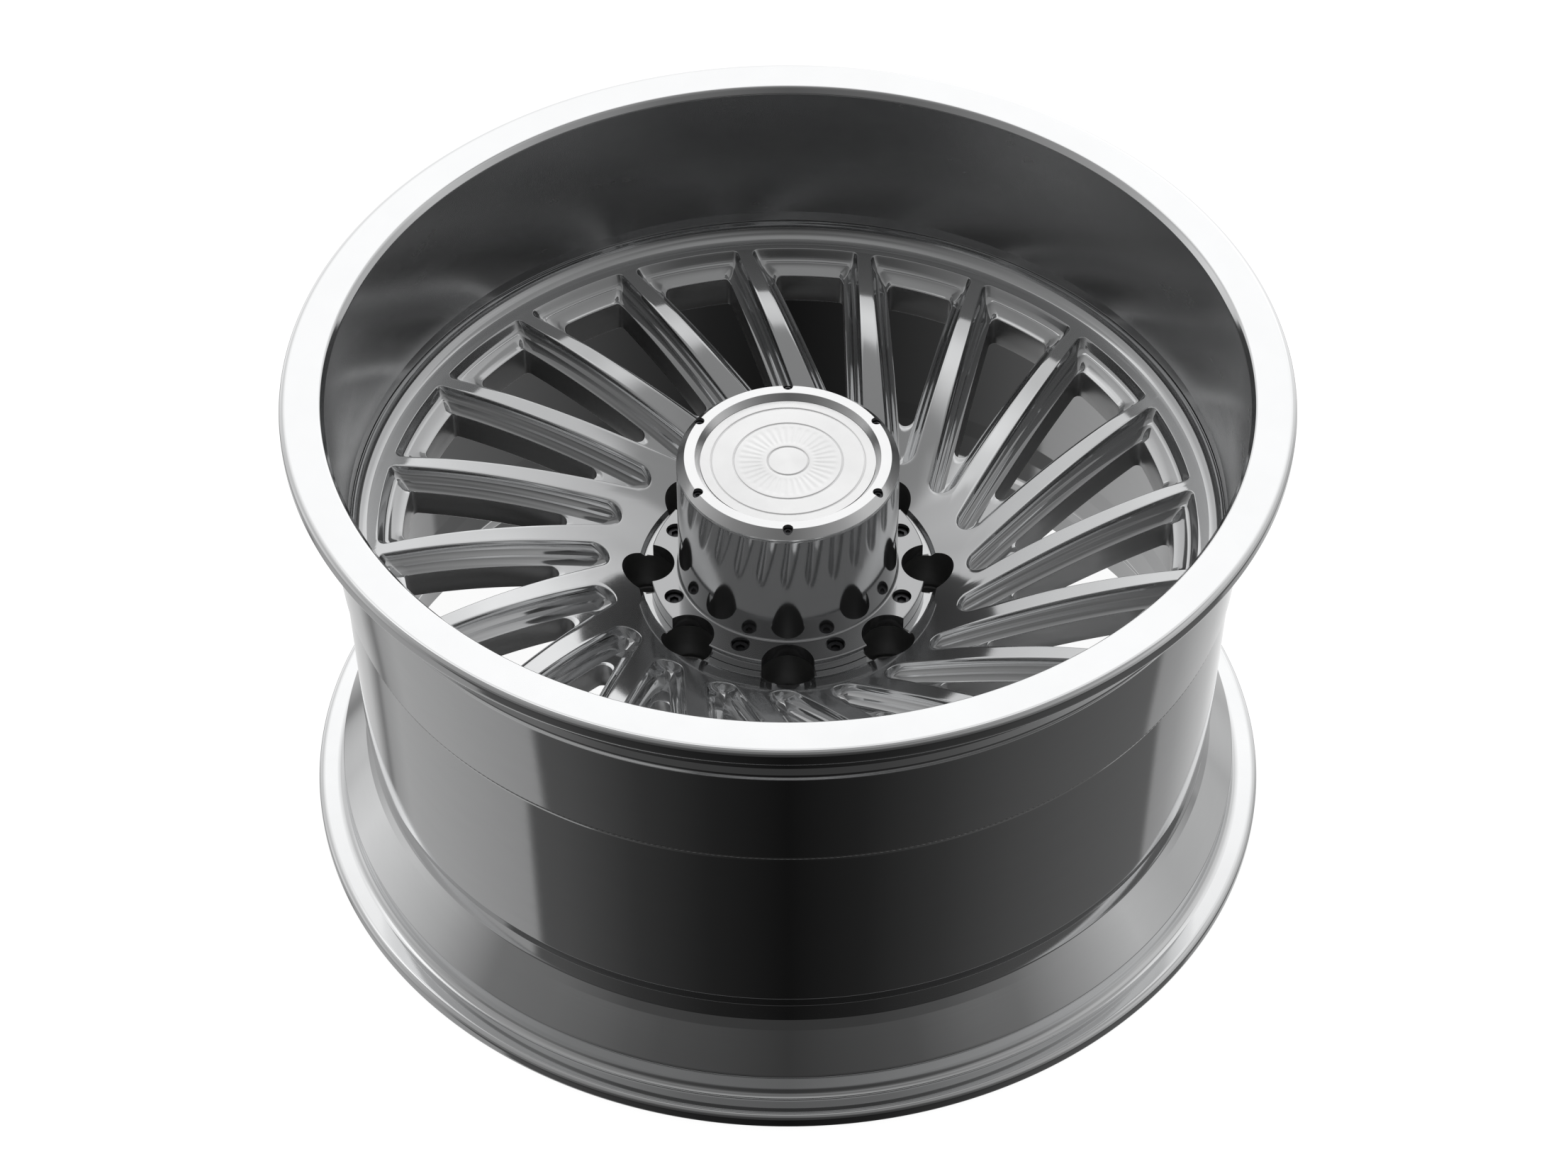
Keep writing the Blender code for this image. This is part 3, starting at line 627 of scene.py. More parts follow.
def outer_section():
    """Outer end wall of a window as (radius, height), level with the side section's points.

    An edge, a leaning wall with a fillet at its foot, a crest, a hollow ledge, and the
    through hole's wall.
    """
    def outward(start, steps):
        return np.stack((start[0] - steps[:, 0], start[1] - steps[:, 1]), axis=-1)

    turn = np.radians(np.linspace(0.0, 60.0, 5))
    edge = np.stack((247.0 - 0.6 * np.sin(turn), RING_HEIGHT - 0.6 + 0.6 * np.cos(turn)), axis=-1)
    lean = run(edge[-1], (243.6, 210.0), 4)
    foot = outward(lean[-1], bend((0.0, 0.0), 3.4, 31.0, 84.0, 5))
    crest = outward(foot[-1], bend((0.0, 0.0), 0.9, 84.0, 50.0, 3))
    ledge = outward(crest[-1], bend((0.0, 0.0), 19.3, 50.0, 76.0, 12))
    lip = outward(ledge[-1], bend((0.0, 0.0), 0.6, 76.0, 2.0, 4))
    foot_back = float(back_height(231.6))
    wall = run(lip[-1], (231.6, foot_back + 0.8), 3)
    turn = np.radians(np.linspace(0.0, 90.0, 5)[1:])
    back = np.stack((232.4 - 0.8 * np.cos(turn), foot_back + 0.8 - 0.8 * np.sin(turn)), axis=-1)
    return np.concatenate((edge, lean, foot, crest, ledge, lip, wall, back))


def inner_reach(inset, level):
    """Distance of the window's inner end from the crossing of its side lines, at each level.

    It hardly moves down to the crest, slopes out under the second cove, and then runs
    across the pocket floor to the through hole.
    """
    floor = np.clip((level - 23.0) / 5.0, 0.0, 1.0)
    upper = np.interp(inset, [-0.6, 0.0, 4.3, 8.7], [41.2, 41.8, 43.3, 53.3])
    below = np.interp(inset, [8.6, 8.9, 9.4], [75.0, 75.5, 76.2])
    return np.where(level > 28, below, upper * (1 - floor) + 75.5 * floor)


def polar(centre, radius, angle):
    """Points at a radius and angle from a centre: centre + radius (cos angle, sin angle)."""
    x = centre[..., 0] + radius * np.cos(angle)
    y = centre[..., 1] + radius * np.sin(angle)
    return np.stack((x, y), axis=-1)


def window_loops():
    """Plan and height of one window's wall: a closed loop of points for each level.

    Each loop is an inner end arc, the low side, a corner arc, an arc about the axle, a corner
    arc and the high side.  Heights go from the side section's to the outer section's round
    the corners.
    """
    section = side_section()
    outer = outer_section()
    inset, depth = section[:, 0], section[:, 1]
    outer_radius, outer_height = outer[:, 0], outer[:, 1]
    level = np.arange(len(inset))
    corner = np.interp(inset, [0.0, 5.0], [4.0, 3.5])
    high = np.array([math.cos(HIGH_SIDE), math.sin(HIGH_SIDE)])
    low = np.array([math.cos(LOW_SIDE), math.sin(LOW_SIDE)])
    apex = np.linalg.solve(np.array([high, low]), np.array([HIGH_OFFSET, LOW_OFFSET]))
    half = (HIGH_SIDE - LOW_SIDE) / 2
    middle = (HIGH_SIDE + LOW_SIDE) / 2 + math.pi / 2
    reach = inner_reach(inset, level)
    end_radius = (reach - inset / math.sin(half)) / (1 / math.sin(half) - 1)
    centre = apex + (reach + end_radius)[:, None] * np.array([math.cos(middle), math.sin(middle)])
    sweep = np.linspace(HIGH_SIDE + math.pi, LOW_SIDE + TAU, INNER_COUNT)
    inner = polar(centre[:, None, :], end_radius[:, None], sweep[None, :])

    def corner_arc(normal, offset, side, side_angle):
        distance = offset + side * corner
        along = np.sqrt((outer_radius - corner) ** 2 - distance ** 2)
        tangent = np.array([-normal[1], normal[0]])
        middle_point = distance[:, None] * normal + along[:, None] * tangent
        out = np.arctan2(middle_point[:, 1], middle_point[:, 0])
        share = np.linspace(0.0, 1.0, CORNER_COUNT)
        angles = side_angle + (out[:, None] - side_angle) * share
        return polar(middle_point[:, None, :], corner[:, None], angles), out

    low_arc, low_out = corner_arc(low, LOW_OFFSET - inset, -1.0, LOW_SIDE)
    high_arc, high_out = corner_arc(high, HIGH_OFFSET + inset, 1.0, HIGH_SIDE + math.pi)
    high_arc = high_arc[:, ::-1]
    share = np.linspace(0.0, 1.0, OUTER_COUNT + 2)[1:-1]
    angles = low_out[:, None] + (high_out - low_out)[:, None] * share
    origin = np.zeros((len(inset), 1, 2))
    far = polar(origin, outer_radius[:, None], angles)
    share = np.linspace(0.0, 1.0, SIDE_COUNT + 2)[1:-1][None, :, None]
    low_line = inner[:, -1:] * (1 - share) + low_arc[:, :1] * share
    high_line = high_arc[:, -1:] * (1 - share) + inner[:, :1] * share
    plan = np.concatenate((inner, low_line, low_arc, far, high_arc, high_line), axis=1)

    rise = np.linspace(0.0, 1.0, CORNER_COUNT)
    rise = rise * rise * (3 - 2 * rise)
    weight = np.concatenate((np.zeros(INNER_COUNT + SIDE_COUNT), rise, np.ones(OUTER_COUNT), rise[::-1],
                             np.zeros(SIDE_COUNT)))
    radius = np.hypot(plan[..., 0], plan[..., 1])
    side_height = face_height(radius) - depth[:, None]
    back_share = np.clip((level - 31) / 4.0, 0.0, 1.0)[:, None]
    from_back = back_height(radius) + (SPOKE_DEPTH - depth)[:, None]
    side_height = side_height * (1 - back_share) + from_back * back_share
    height = side_height * (1 - weight) + outer_height[:, None] * weight
    return np.concatenate((plan, height[..., None]), axis=-1)


def spoke_angle(radius):
    """Angle of the first spoke's centre line, a straight line that passes beside the axle."""
    return SPOKE_LINE + np.arccos(SPOKE_OFFSET / radius)


def sector_edge(loop, inner_radius):
    """Edge of the 18 degree sector round a window, point for point with a window loop.

    An arc at the hub, the centre line of the spoke below, an arc at the ring, and the centre
    line of the spoke above.
    """
    step = TAU / SPOKE_COUNT
    radius = np.hypot(loop[:, 0], loop[:, 1])
    low_side = radius[INNER_COUNT:INNER_COUNT + SIDE_COUNT]
    high_side = radius[-SIDE_COUNT:][::-1]
    radii = np.concatenate(((low_side + high_side) / 2,
                            np.linspace(244.0, RING_RADIUS, LINE_COUNT - SIDE_COUNT)))
    hub_low = spoke_angle(HUB_RADIUS)
    hub = (inner_radius, hub_low + step * np.linspace(1.0, 0.0, INNER_COUNT))
    low_line = (radii, spoke_angle(radii))
    ring_low = spoke_angle(RING_RADIUS)
    ring = (RING_RADIUS, ring_low + step * np.linspace(0.0, 1.0, EDGE_COUNT + 2)[1:-1])
    high_line = (radii[::-1], spoke_angle(radii[::-1]) + step)
    origin = np.zeros(2)
    return np.concatenate([polar(origin, r, a) for r, a in (hub, low_line, ring, high_line)])


def ruled(first, second, rows, height):
    """Band between two equal loops: straight in plan, with its height read from a surface."""
    share = np.linspace(0.0, 1.0, rows)[:, None, None]
    plan = first[None, :, :2] * (1 - share) + second[None, :, :2] * share
    radius = np.hypot(plan[..., 0], plan[..., 1])
    points = np.concatenate((plan, height(radius)[..., None]), axis=-1)
    return points.reshape(-1, 3), grid_quads(rows, len(first))


def spoke_sectors():
    """All twenty windows with their halves of the spokes beside them, turned round the axle."""
    loops = window_loops()
    levels, count = loops.shape[:2]
    face_edge = sector_edge(loops[0], HUB_RADIUS)
    back_edge = sector_edge(loops[-1], HUB_BACK_RADIUS)
    wall = (loops.reshape(-1, 3), grid_quads(levels, count)[:, ::-1])
    face = ruled(loops[0], face_edge, 5, face_height)
    back = ruled(loops[-1], back_edge, 5, back_height)
    sector = joined([wall, face, (back[0], back[1][:, ::-1])])
    points, quads = sector
    copies = []
    for index in range(SPOKE_COUNT):
        cosine, sine = math.cos(index * TAU / SPOKE_COUNT), math.sin(index * TAU / SPOKE_COUNT)
        turn = np.array([[cosine, sine, 0.0], [-sine, cosine, 0.0], [0.0, 0.0, 1.0]])
        copies.append((points @ turn, quads))
    return joined(copies)


def outer_edge():
    """Fillet, crease edge, welded outside and back of the ring that carries the spokes."""
    turn = np.radians(np.linspace(12.0, 82.0, 12))
    fillet = np.stack((RING_RADIUS + 9.9 * (np.sin(turn) - math.sin(turn[0])),
                       RING_HEIGHT + 9.9 * (math.cos(turn[0]) - np.cos(turn))), axis=-1)
    rest = np.array([
        (CENTRE_RADIUS - 0.2, 224.6), (CENTRE_RADIUS, 225.0), (CENTRE_RADIUS, 224.0), (CENTRE_RADIUS, 203.0),
        (CENTRE_RADIUS, EDGE_BOTTOM + 1.0), (CENTRE_RADIUS - 0.3, EDGE_BOTTOM + 0.3),
        (CENTRE_RADIUS - 1.0, float(back_height(CENTRE_RADIUS - 1.0))),
        (RING_RADIUS, float(back_height(RING_RADIUS))),
    ])
    profile = np.concatenate((fillet, rest))
    return turned(profile, SPOKE_COUNT * (EDGE_COUNT + 1), float(spoke_angle(RING_RADIUS)), closed=False)


def lug_cutter():
    """Lug nut pockets with their cone seats and stud holes."""
    profile = rounded([
        (0.0, 230.0, 0.0), (LUG_POCKET_RADIUS, 230.0, 0.0), (LUG_POCKET_RADIUS, 139.0, 1.2),
        (13.0, 139.0, 0.0), (8.2, 130.7, 0.0), (8.2, 110.0, 0.0), (0.0, 110.0, 0.0)])
    pocket = turned(profile, 72, closed=False)
    return make_mesh("lug_cutter", on_circle(pocket, LUG_CIRCLE, LUG_COUNT, FIRST_LUG))


def hole_cutter(corners, circle, count, first, steps=40):
    """Equal turned holes on a circle, as one cutting shape."""
    profile = rounded([(radius, height, 0.0) for radius, height in corners])
    return make_mesh("hole_cutter", on_circle(turned(profile, steps, closed=False), circle, count, first))


def hub():
    """Hub ring: cap seat, cove up to the face, back pad and bore, with its lug holes cut."""
    profile = rounded([
        (HUB_RADIUS, float(face_height(HUB_RADIUS)), 0.0),
        (99.8, float(face_height(99.8)), 0.0),
        (95.6, float(face_height(95.6)), 0.0),
        (91.5, float(face_height(91.5)), 0.4),
        (89.3, CAP_SEAT, 1.6),
        (72.0, CAP_SEAT, 0.0),
        (BORE_RADIUS, CAP_SEAT, 1.0),
        (BORE_RADIUS, HUB_BACK, 1.6),
        (84.0, HUB_BACK, 0.0),
        (HUB_BACK_RADIUS, HUB_BACK, 0.0),
    ], arc_steps=4)
    mesh = make_mesh("hub", turned(profile, HUB_STEPS, float(spoke_angle(HUB_RADIUS))))
    tapped = hole_cutter([(0, 200), (3.3, 200), (3.3, 148), (0, 146)], FLANGE_SCREW_CIRCLE, LUG_COUNT,
                         FIRST_FLANGE_SCREW, 24)
    return cut_out(mesh, lug_cutter(), tapped)


def forged_centre():
    """The whole centre: hub ring, sectors and outer edge welded into one mesh."""
    rest = make_mesh("sectors", joined([spoke_sectors(), outer_edge()]), merge=0.02)
    shape = bmesh.new()
    shape.from_mesh(hub())
    inner_wall = [face for face in shape.faces
                  if min(vertex.co.xy.length for vertex in face.verts) > (HUB_RADIUS - 0.01) * MM]
    bmesh.ops.delete(shape, geom=inner_wall, context="FACES_ONLY")
    shape.from_mesh(rest)
    bmesh.ops.remove_doubles(shape, verts=shape.verts, dist=0.02 * MM)
    bmesh.ops.recalc_face_normals(shape, faces=shape.faces)
    mesh = bpy.data.meshes.new("forged_centre")
    shape.to_mesh(mesh)
    shape.free()
    return mesh


def build_centre():
    """The forged centre in its polished finish."""
    centre = piece("forged_centre_surface", forged_centre(), POLISHED_CENTRE,
                   ["forged_centre"])
    second_finish(centre.data, MILLED_WALL, in_through_hole)
    # Painted shade in the lug pockets: their walls and floors take the dark grey finish.
    second_finish(centre.data, LUG_POCKET_PAINTED_SHADE, in_lug_pocket)


# Centre cap

def cap_sleeve():
    """Sleeve: flange with lug scallops and counterbores, a fillet at its foot, and a tall tube."""
    profile = rounded([
        (SLEEVE_RADIUS, SLEEVE_TOP, 0.5),
        (SLEEVE_RADIUS, CAP_FLANGE_TOP, 1.3),
        (84.0, CAP_FLANGE_TOP, 0.7),
        (84.0, CAP_SEAT + GAP, 0.3),
        (60.0, CAP_SEAT + GAP, 0.5),
        (60.0, SLEEVE_TOP - 18.0, 2.0),
        (55.5, SLEEVE_TOP - 14.0, 1.0),
        (55.5, SLEEVE_TOP, 0.4),
    ])
    mesh = make_mesh("sleeve", turned(profile, CAP_STEPS))
    counterbores = hole_cutter([(0, 177), (5.9, 177), (5.9, 169.2), (3.4, 169.2), (3.4, 160), (0, 160)],
                               FLANGE_SCREW_CIRCLE, LUG_COUNT, FIRST_FLANGE_SCREW)
    tapped = hole_cutter([(0, 262), (1.8, 262), (1.8, 247), (0, 246)], LID_SCREW_CIRCLE, LID_SCREW_COUNT,
                         FIRST_LUG, 20)
    return cut_out(mesh, lug_cutter(), counterbores, tapped)


def cap_lid():
    """Lid: chamfered edge, flat ring, sloping recess wall, and a spigot underneath."""
    profile = rounded([
        (0.0, EMBLEM_TOP - 1.8, 0.0),
        (40.0, EMBLEM_TOP - 1.8, 0.0),
        (EMBLEM_RADIUS + GAP, EMBLEM_TOP - 1.8, 0.0),
        (EMBLEM_RADIUS + GAP, EMBLEM_TOP, 0.0),
        (55.5, LID_TOP, 0.25),
        (61.8, LID_TOP, 0.3),
        (SLEEVE_RADIUS, 260.2, 0.4),
        (SLEEVE_RADIUS, SLEEVE_TOP + GAP, 0.2),
        (55.0, SLEEVE_TOP + GAP, 0.0),
        (55.0, SLEEVE_TOP - 5.0, 0.5),
        (50.0, SLEEVE_TOP - 5.0, 0.5),
        (50.0, EMBLEM_TOP - 6.0, 0.0),
        (0.0, EMBLEM_TOP - 6.0, 0.0),
    ])
    mesh = make_mesh("lid", turned(profile, CAP_STEPS, closed=False))
    notches = hole_cutter([(0, 268), (3.1, 268), (3.1, 260.2), (1.8, 260.2), (1.8, 255), (0, 255)],
                          LID_SCREW_CIRCLE, LID_SCREW_COUNT, FIRST_LUG)
    return cut_out(mesh, notches)


def emblem_disc():
    """Plain disc with a generic pattern: ring grooves, and fine ribs round the middle boss.

    Height = top - ring grooves (narrow bells of the radius) - ribs (a cosine of the angle
    between two radii).
    """
    stretches = ((0.0, 11.0, 12), (11.25, 13.0, 8), (14.0, 31.0, 18), (31.25, 34.0, 12),
                 (35.0, 44.5, 10), (44.75, 47.0, 10), (47.5, EMBLEM_RADIUS, 6))
    radius = np.concatenate([np.linspace(*stretch) for stretch in stretches])
    steps = 288
    angle = np.arange(steps) * TAU / steps
    grid_radius, grid_angle = np.meshgrid(radius, angle, indexing="ij")
    groove = sum(0.35 * np.exp(-((grid_radius - place) / 0.45) ** 2) for place in (12.2, 32.6, 45.9))
    inside = np.clip((grid_radius - 15.0) / 2.0, 0.0, 1.0) * np.clip((30.0 - grid_radius) / 2.0, 0.0, 1.0)
    ribs = 0.16 * inside * (0.5 - 0.5 * np.cos(grid_angle * 36))
    top = EMBLEM_TOP - groove - ribs
    surface = round_axle(grid_radius, grid_angle, top)
    under = round_axle(np.array([[EMBLEM_RADIUS], [0.0]]), angle, EMBLEM_TOP - 1.5)
    points = np.concatenate((surface, under))
    return make_mesh("emblem", (points.reshape(-1, 3), grid_quads(len(points), steps)))


def hexagon_reach(angle):
    """Radius of a hexagon with a half width of 1: 1 / cos of the angle to the nearest flat."""
    nearest = (angle + TAU / 12) % (TAU / 6) - TAU / 12
    return 1 / np.cos(nearest)


def socket_screw(place, head_radius, head_height, shank_radius, length, flats, depth):
    """Socket-head screw: a turned profile whose socket rows are hexagons."""
    rows = [
        (0.0, head_height - depth - 0.4, 0), (flats * 0.97, head_height - depth, 1),
        (flats, head_height - depth + 0.2, 1), (flats, head_height - 0.25, 1),
        (flats + 0.12, head_height - 0.06, 1), (flats * 1.18 + 0.2, head_height, 0),
        (head_radius - 0.6, head_height, 0), (head_radius - 0.35, head_height - 0.03, 0),
        (head_radius - 0.1, head_height - 0.2, 0), (head_radius, head_height - 0.5, 0),
        (head_radius, 0.15, 0), (head_radius - 0.15, 0.0, 0), (shank_radius + 0.1, 0.0, 0),
        (shank_radius, -0.2, 0), (shank_radius, 0.6 - length, 0), (shank_radius - 0.5, -length, 0),
        (0.0, -length, 0)]
    profile = np.array(rows)
    steps = 72
    angle = np.arange(steps) * TAU / steps
    radius = profile[:, :1] * np.where(profile[:, 2:] > 0, hexagon_reach(angle), 1.0)
    points = round_axle(radius, angle, profile[:, 1:2]) + place
    return make_mesh("screw", (points.reshape(-1, 3), grid_quads(len(rows), steps)))


def build_cap():
    """Sleeve, lid, emblem disc and all of their screws."""
    piece("cap_sleeve_surface", cap_sleeve(), POLISHED_SLEEVE, ["cap_sleeve"])
    piece("cap_lid_surface", cap_lid(), MACHINED_LID, ["cap_lid"])
    piece("emblem_disc_surface", emblem_disc(), BRUSHED_EMBLEM, ["cap_emblem_disc"])
    circles = (
        ("flange_screw", LUG_COUNT, FLANGE_SCREW_CIRCLE, FIRST_FLANGE_SCREW, 169.5,
         (5.2, 3.0, 3.0, 18.0, 2.5, 2.0)),
        ("lid_screw", LID_SCREW_COUNT, LID_SCREW_CIRCLE, FIRST_LUG, 260.5,
         (2.7, 1.8, 1.5, 11.0, 1.25, 1.2)),
    )
    for name, count, circle, first, height, sizes in circles:
        for index in range(count):
            angle = first + index * TAU / count
            place = (circle * math.cos(angle), circle * math.sin(angle), height)
            piece(f"{name}_{index + 1}_surface", socket_screw(place, *sizes), BLACK_OXIDE,
                  [f"{name}_{index + 1}"])


# Tyre valve

def valve_mesh(profile, steps=64, closed=True, shape=None):
    """Valve part: a turned profile, its radius scaled by a function of angle and height."""
    points, quads = turned(profile, steps, closed=closed)
    if shape is not None:
        angle = np.arctan2(points[:, 1], points[:, 0])
        points[:, :2] *= shape(angle, points[:, 2], np.hypot(points[:, 0], points[:, 1]))[:, None]
    return make_mesh("valve", (on_valve_axis(points), quads))


def build_valve():
    """Stem with a thread, seal, washer, nut, core, pin and ribbed cap."""
    tip = 44.0
    seal = rounded([(8.8, -GAP, 0.3), (8.4, -2.6, 0.5), (4.3, -2.6, 0.2), (4.3, -GAP, 0.2)], 3, 0.2)
    piece("valve_seal_surface", valve_mesh(seal), RUBBER, ["valve_seal"])

    stem = rounded([
        (2.6, tip, 0.2), (3.9, tip, 0.5), (3.9, -2.9, 0.0),
        (8.0, -2.9, 0.3), (8.0, -5.6, 0.6), (2.6, -5.6, 0.3)], 3, 0.2)
    thread_rows = np.stack((np.full(150, 3.9), np.linspace(tip - 1.2, 2.0, 150)), axis=-1)
    place = int(np.argmax((stem[:, 0] == 3.9) & (stem[:, 1] == -2.9)))
    stem = np.insert(stem, place, thread_rows, axis=0)

    def thread(angle, height, radius):
        on = (radius > 3.5) & (radius < 4.0) & (height > 2.0) & (height < tip - 1.2)
        return np.where(on, 1.0 - 0.05 * (0.5 + 0.5 * np.cos(TAU * height / 1.0 - angle)), 1.0)

    piece("valve_stem_surface", valve_mesh(stem, shape=thread), NICKEL, ["valve_stem"])
    washer = rounded([(7.6, 7.5, 0.3), (7.6, 6.3, 0.2), (4.3, 6.3, 0.2), (4.3, 7.5, 0.2)], 3, 0.1)
    piece("valve_washer_surface", valve_mesh(washer), NICKEL, ["valve_washer"])
    nut = rounded([(6.9, 12.5, 0.4), (6.9, 7.8, 0.4), (4.8, 7.8, 0.2), (4.8, 12.5, 0.2)], 3, 0.2)

    def hexagon(angle, height, radius):
        return np.where(radius > 5.5, math.cos(TAU / 12) * hexagon_reach(angle), 1.0)

    piece("valve_nut_surface", valve_mesh(nut, 96, shape=hexagon), NICKEL, ["valve_nut"])
    core = rounded([(2.2, tip - 1.6, 0.2), (2.2, tip - 16.0, 0.2),
                    (1.1, tip - 16.0, 0.1), (1.1, tip - 1.6, 0.1)], 3, 0.1)
    piece("valve_core_surface", valve_mesh(core, 48), BRASS, ["valve_core"])
    pin = rounded([(0.0, tip - 0.4, 0.0), (0.7, tip - 0.4, 0.15), (0.7, tip - 17.0, 0.0),
                   (1.9, tip - 17.0, 0.1), (1.9, tip - 19.0, 0.3), (0.0, tip - 19.0, 0.0)], 3, 0.1)
    piece("valve_pin_surface", valve_mesh(pin, 36, closed=False), BRASS,
          ["valve_pin"], "valve_pin")
    cap = rounded([(0.0, tip + 2.6, 0.0), (4.8, tip + 2.6, 0.8), (5.4, tip + 1.0, 0.6), (5.4, tip - 8.0, 0.3),
                   (4.3, tip - 8.0, 0.2), (4.3, tip + 0.6, 0.3), (0.0, tip + 0.6, 0.0)], 3, 0.2)
    ribs = np.stack((np.full(6, 5.4), np.linspace(tip - 0.6, tip - 7.0, 6)), axis=-1)
    place = int(np.argmax((cap[:, 0] > 5.3) & (cap[:, 1] < tip - 6.0)))
    cap = np.insert(cap, place, ribs, axis=0)

    def ribbed(angle, height, radius):
        on = (radius > 5.2) & (height < tip) & (height > tip - 7.4)
        return np.where(on, 1.0 - 0.045 * (0.5 + 0.5 * np.cos(angle * 24)), 1.0)

    piece("valve_cap_surface", valve_mesh(cap, 192, closed=False, shape=ribbed), PLASTIC,
          ["valve_cap"], "valve_cap")


# Studio

# Light panels above the horizon: for each elevation in degrees, the brightness at each
# bearing in degrees, 0 straight behind the wheel and positive to the right.
BRIGHTEST = 1.5
PANELS = [
    (22, [(-180, 0.045), (-152, 0.10), (-137, 0.20), (-122, 0.27), (-98, 0.38), (-50, 0.70),
          (-20, 0.85), (0, 1.10), (10, 1.45), (20, 1.30), (32, 0.95), (55, 0.70), (98, 0.55),
          (122, 0.32), (137, 0.24), (152, 0.10), (180, 0.045)]),
    (33, [(-180, 0.12), (-150, 0.17), (-122, 0.25), (-98, 0.38), (-40, 0.70), (-20, 1.00), (0, 1.15),
          (14, 1.45), (22, 1.40), (30, 0.95), (42, 0.72), (98, 0.60), (122, 0.36), (150, 0.20),
          (180, 0.12)]),
    (40, [(-180, 0.16), (-122, 0.25), (-98, 0.36), (-40, 0.82), (-20, 1.04), (-8, 1.20), (8, 1.20),
          (20, 1.10), (30, 0.95), (50, 0.75), (98, 0.50), (122, 0.36), (180, 0.16)]),
    (47.2, [(-180, 0.16), (-122, 0.25), (-98, 0.36), (-40, 0.82), (-20, 1.00), (-8, 1.20), (8, 1.20),
            (20, 1.03), (30, 0.95), (50, 0.75), (98, 0.50), (122, 0.36), (180, 0.16)]),
    (50, [(-180, 0.15), (-150, 0.17), (-110, 0.30), (-64, 0.42), (-52, 1.15), (-38, 0.95), (0, 0.95),
          (30, 0.90), (44, 0.80), (52, 0.42), (110, 0.36), (150, 0.18), (180, 0.15)]),
    (56, [(-180, 0.14), (-150, 0.17), (-110, 0.30), (-62, 0.38), (-50, 0.90), (-40, 1.40),
          (-30, 1.15), (-20, 0.87), (48, 0.86), (58, 0.40), (110, 0.32), (150, 0.17), (180, 0.14)]),
    (60.5, [(-180, 0.15), (-150, 0.18), (-110, 0.32), (-52, 0.37), (-34, 1.05), (-20, 1.15),
            (-12, 0.85), (20, 0.82), (30, 0.95), (45, 0.42), (110, 0.32), (150, 0.18), (180, 0.15)]),
    (65, [(-180, 0.19), (-120, 0.30), (-50, 0.38), (-40, 0.85), (-30, 1.20), (-18, 1.30), (0, 1.10),
          (10, 1.00), (20, 1.18), (30, 1.10), (40, 0.42), (120, 0.30), (180, 0.19)]),
    (69.6, [(-180, 0.26), (-34, 0.36), (-22, 0.95), (-8, 1.10), (0, 0.95), (18, 0.90), (28, 0.40),
            (180, 0.26)]),
    (70.6, [(-180, 0.29), (-34, 0.36), (34, 0.36), (180, 0.29)]),
    (80, [(-180, 0.355), (180, 0.355)]),
]


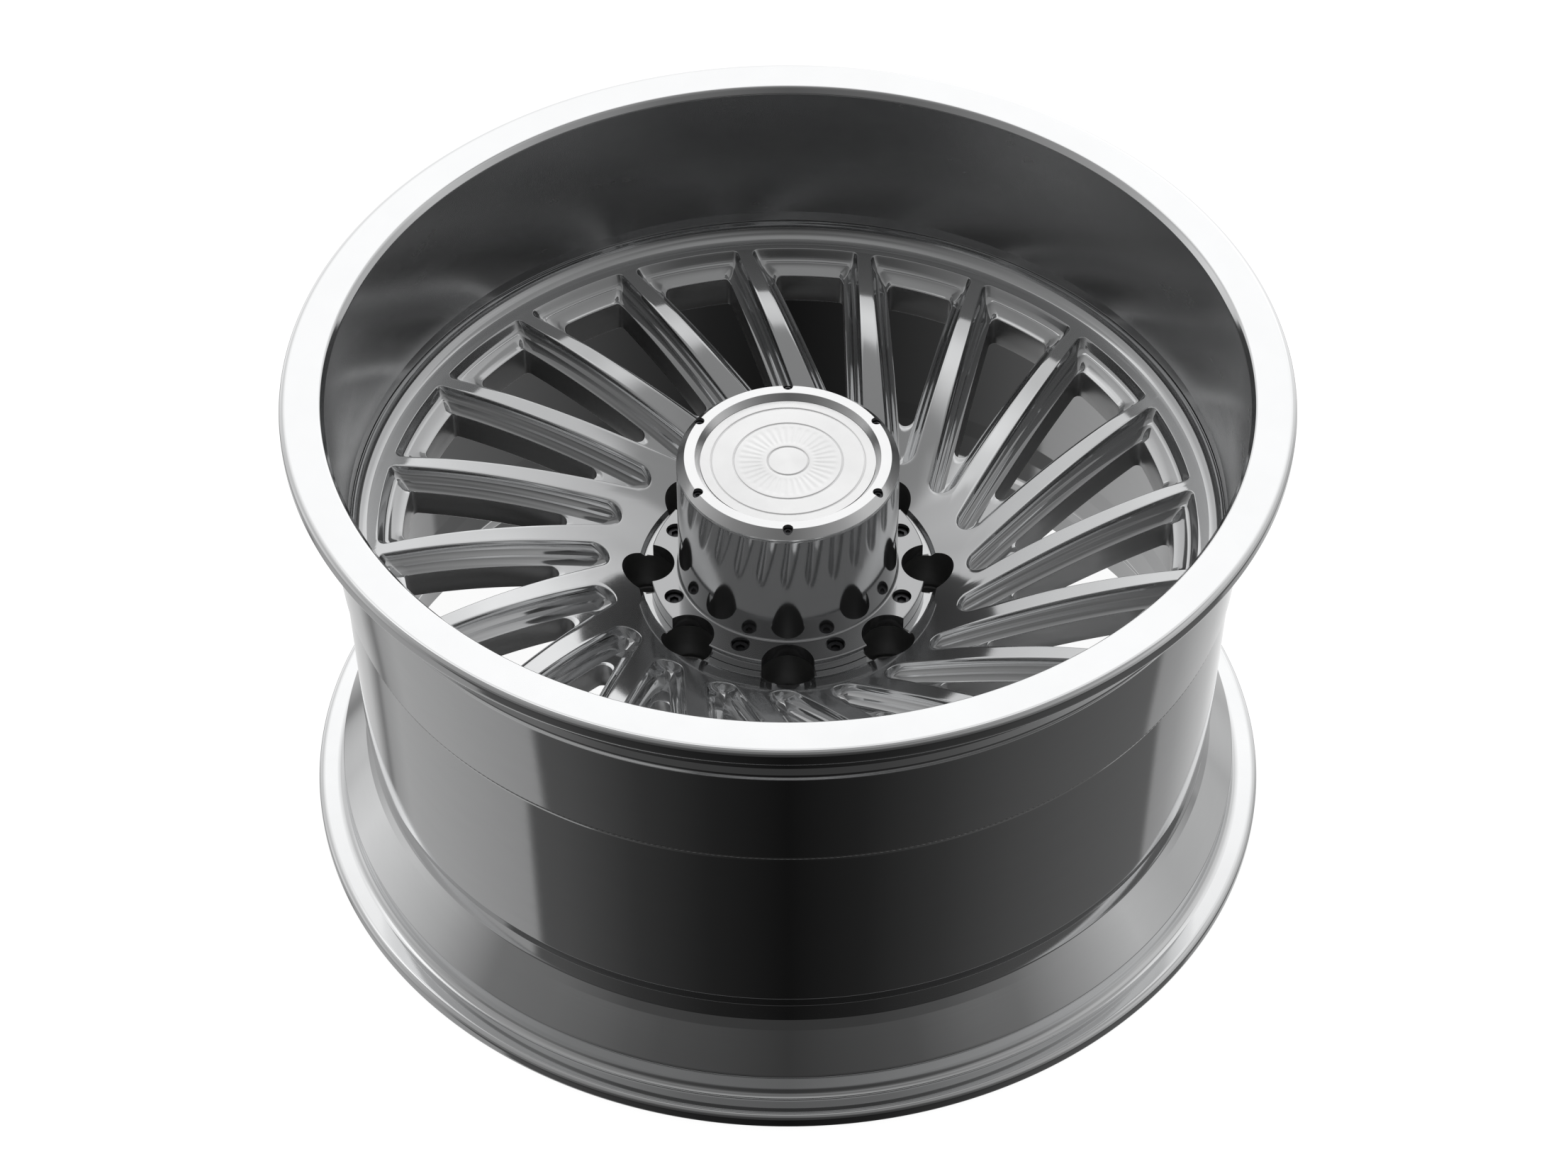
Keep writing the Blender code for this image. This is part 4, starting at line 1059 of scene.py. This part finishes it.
def studio_world():
    """Studio light from the view direction: bright behind, dim in front, panels overhead.

    The direction's bearing (0.5 behind, 0 and 1 in front) and elevation pick a grey from
    ramps: one below, one level, and one for each row of panels above.
    """
    world = bpy.data.worlds.new("studio")
    bpy.context.scene.world = world
    world.use_nodes = True
    tree = world.node_tree
    tree.nodes.clear()
    direction = add_node(tree, "ShaderNodeTexCoord").outputs["Generated"]
    split = add_node(tree, "ShaderNodeSeparateXYZ")
    tree.links.new(direction, split.inputs[0])
    x, y, z = split.outputs
    bearing = math_node(tree, "ARCTAN2", x, y)
    bearing = math_node(tree, "MULTIPLY_ADD", bearing, 1 / TAU, 0.5)
    elevation = math_node(tree, "MULTIPLY_ADD", math_node(tree, "ARCSINE", z), 1 / math.pi, 0.5)

    def at_bearing(stops):
        shares = [(0.5 + degrees / 360.0, value / BRIGHTEST) for degrees, value in stops]
        return ramp_node(tree, bearing, shares)

    def at_elevation(stops):
        return ramp_node(tree, elevation, [(0.5 + degrees / 180.0, value) for degrees, value in stops])

    def blend(factor, first, second):
        node = add_node(tree, "ShaderNodeMix", data_type="RGBA")
        tree.links.new(factor, node.inputs["Factor"])
        tree.links.new(first, node.inputs["A"])
        tree.links.new(second, node.inputs["B"])
        return node.outputs["Result"]

    below = at_bearing([
        (-180, 0.007), (-158, 0.016), (-137, 0.035), (-115, 0.075), (-106, 0.085), (-104, 0.28),
        (-73, 0.36), (-53, 0.40), (-44, 0.32), (-41, 0.18), (-38, 0.30), (-32, 0.52), (-12, 0.75),
        (-4, 1.15), (4, 1.15), (12, 0.9), (32, 0.55), (53, 0.33), (62, 0.28), (64, 0.12), (94, 0.09),
        (115, 0.065), (137, 0.035), (158, 0.016), (180, 0.007)])
    level = at_bearing([
        (-180, 0.04), (-162, 0.05), (-145, 0.07), (-128, 0.15), (-112, 0.18), (-97, 0.42), (-82, 0.60),
        (-68, 0.75), (-55, 0.62), (-40, 0.95), (0, 1.15), (40, 0.95), (55, 0.48), (68, 0.49),
        (82, 0.45), (97, 0.52),
        (112, 0.33), (128, 0.16), (145, 0.085), (162, 0.05), (180, 0.04)])
    above = at_bearing(PANELS[0][1])
    for (lower_edge, _), (upper_edge, stops) in zip(PANELS, PANELS[1:]):
        share = at_elevation([(lower_edge, 0.0), (upper_edge, 1.0)])
        above = blend(share, above, at_bearing(stops))
    over_lower = at_elevation([(-24, 0.0), (-14, 1.0)])
    over_level = at_elevation([(10, 0.0), (18, 1.0)])
    lower = blend(over_lower, below, level)
    light = blend(over_level, lower, above)
    seen = add_node(tree, "ShaderNodeLightPath").outputs["Is Camera Ray"]
    white = add_node(tree, "ShaderNodeRGB")
    white.outputs[0].default_value = (1 / BRIGHTEST, 1 / BRIGHTEST, 1 / BRIGHTEST, 1.0)
    light = blend(seen, light, white.outputs[0])
    background = add_node(tree, "ShaderNodeBackground", {"Strength": BRIGHTEST})
    tree.links.new(light, background.inputs["Color"])
    output = add_node(tree, "ShaderNodeOutputWorld")
    tree.links.new(background.outputs[0], output.inputs["Surface"])


def studio_floor():
    """Plain pale floor that glows a little, and that polished metal doesn't mirror."""
    size = 6.0
    mesh = bpy.data.meshes.new("floor")
    corners = [(-size, -size, 0), (size, -size, 0), (size, size, 0), (-size, size, 0)]
    mesh.from_pydata(corners, [], [(0, 1, 2, 3)])
    floor = bpy.data.objects.new("studio_floor", mesh)
    bpy.context.scene.collection.objects.link(floor)
    material = bpy.data.materials.new("pale_floor")
    material.use_nodes = True
    shader = material.node_tree.nodes["Principled BSDF"]
    shader.inputs["Base Color"].default_value = (0.35, 0.35, 0.35, 1.0)
    shader.inputs["Roughness"].default_value = 0.9
    shader.inputs["Emission Color"].default_value = (1.0, 1.0, 1.0, 1.0)
    shader.inputs["Emission Strength"].default_value = 0.93
    mesh.materials.append(material)
    floor.visible_glossy = False
    floor.location.z = -0.0005


def studio_camera():
    """Camera in front of the wheel, 45 degrees above it, aimed at its middle."""
    data = bpy.data.cameras.new("camera")
    data.lens = 101.0
    data.sensor_width = 36.0
    data.shift_x = -0.0025
    camera = bpy.data.objects.new("camera", data)
    bpy.context.scene.collection.objects.link(camera)
    target = Vector((0.0, 0.0, 0.1538))
    elevation = math.radians(45.17)
    away = Vector((0.0, -math.cos(elevation), math.sin(elevation)))
    camera.location = target + away * 2.693
    camera.rotation_euler = (-away).to_track_quat("-Z", "Y").to_euler()
    bpy.context.scene.camera = camera


studio_camera()
studio_world()
studio_floor()
build_rim()
build_centre()
build_cap()
build_valve()
bpy.context.scene.view_settings.view_transform = "Standard"
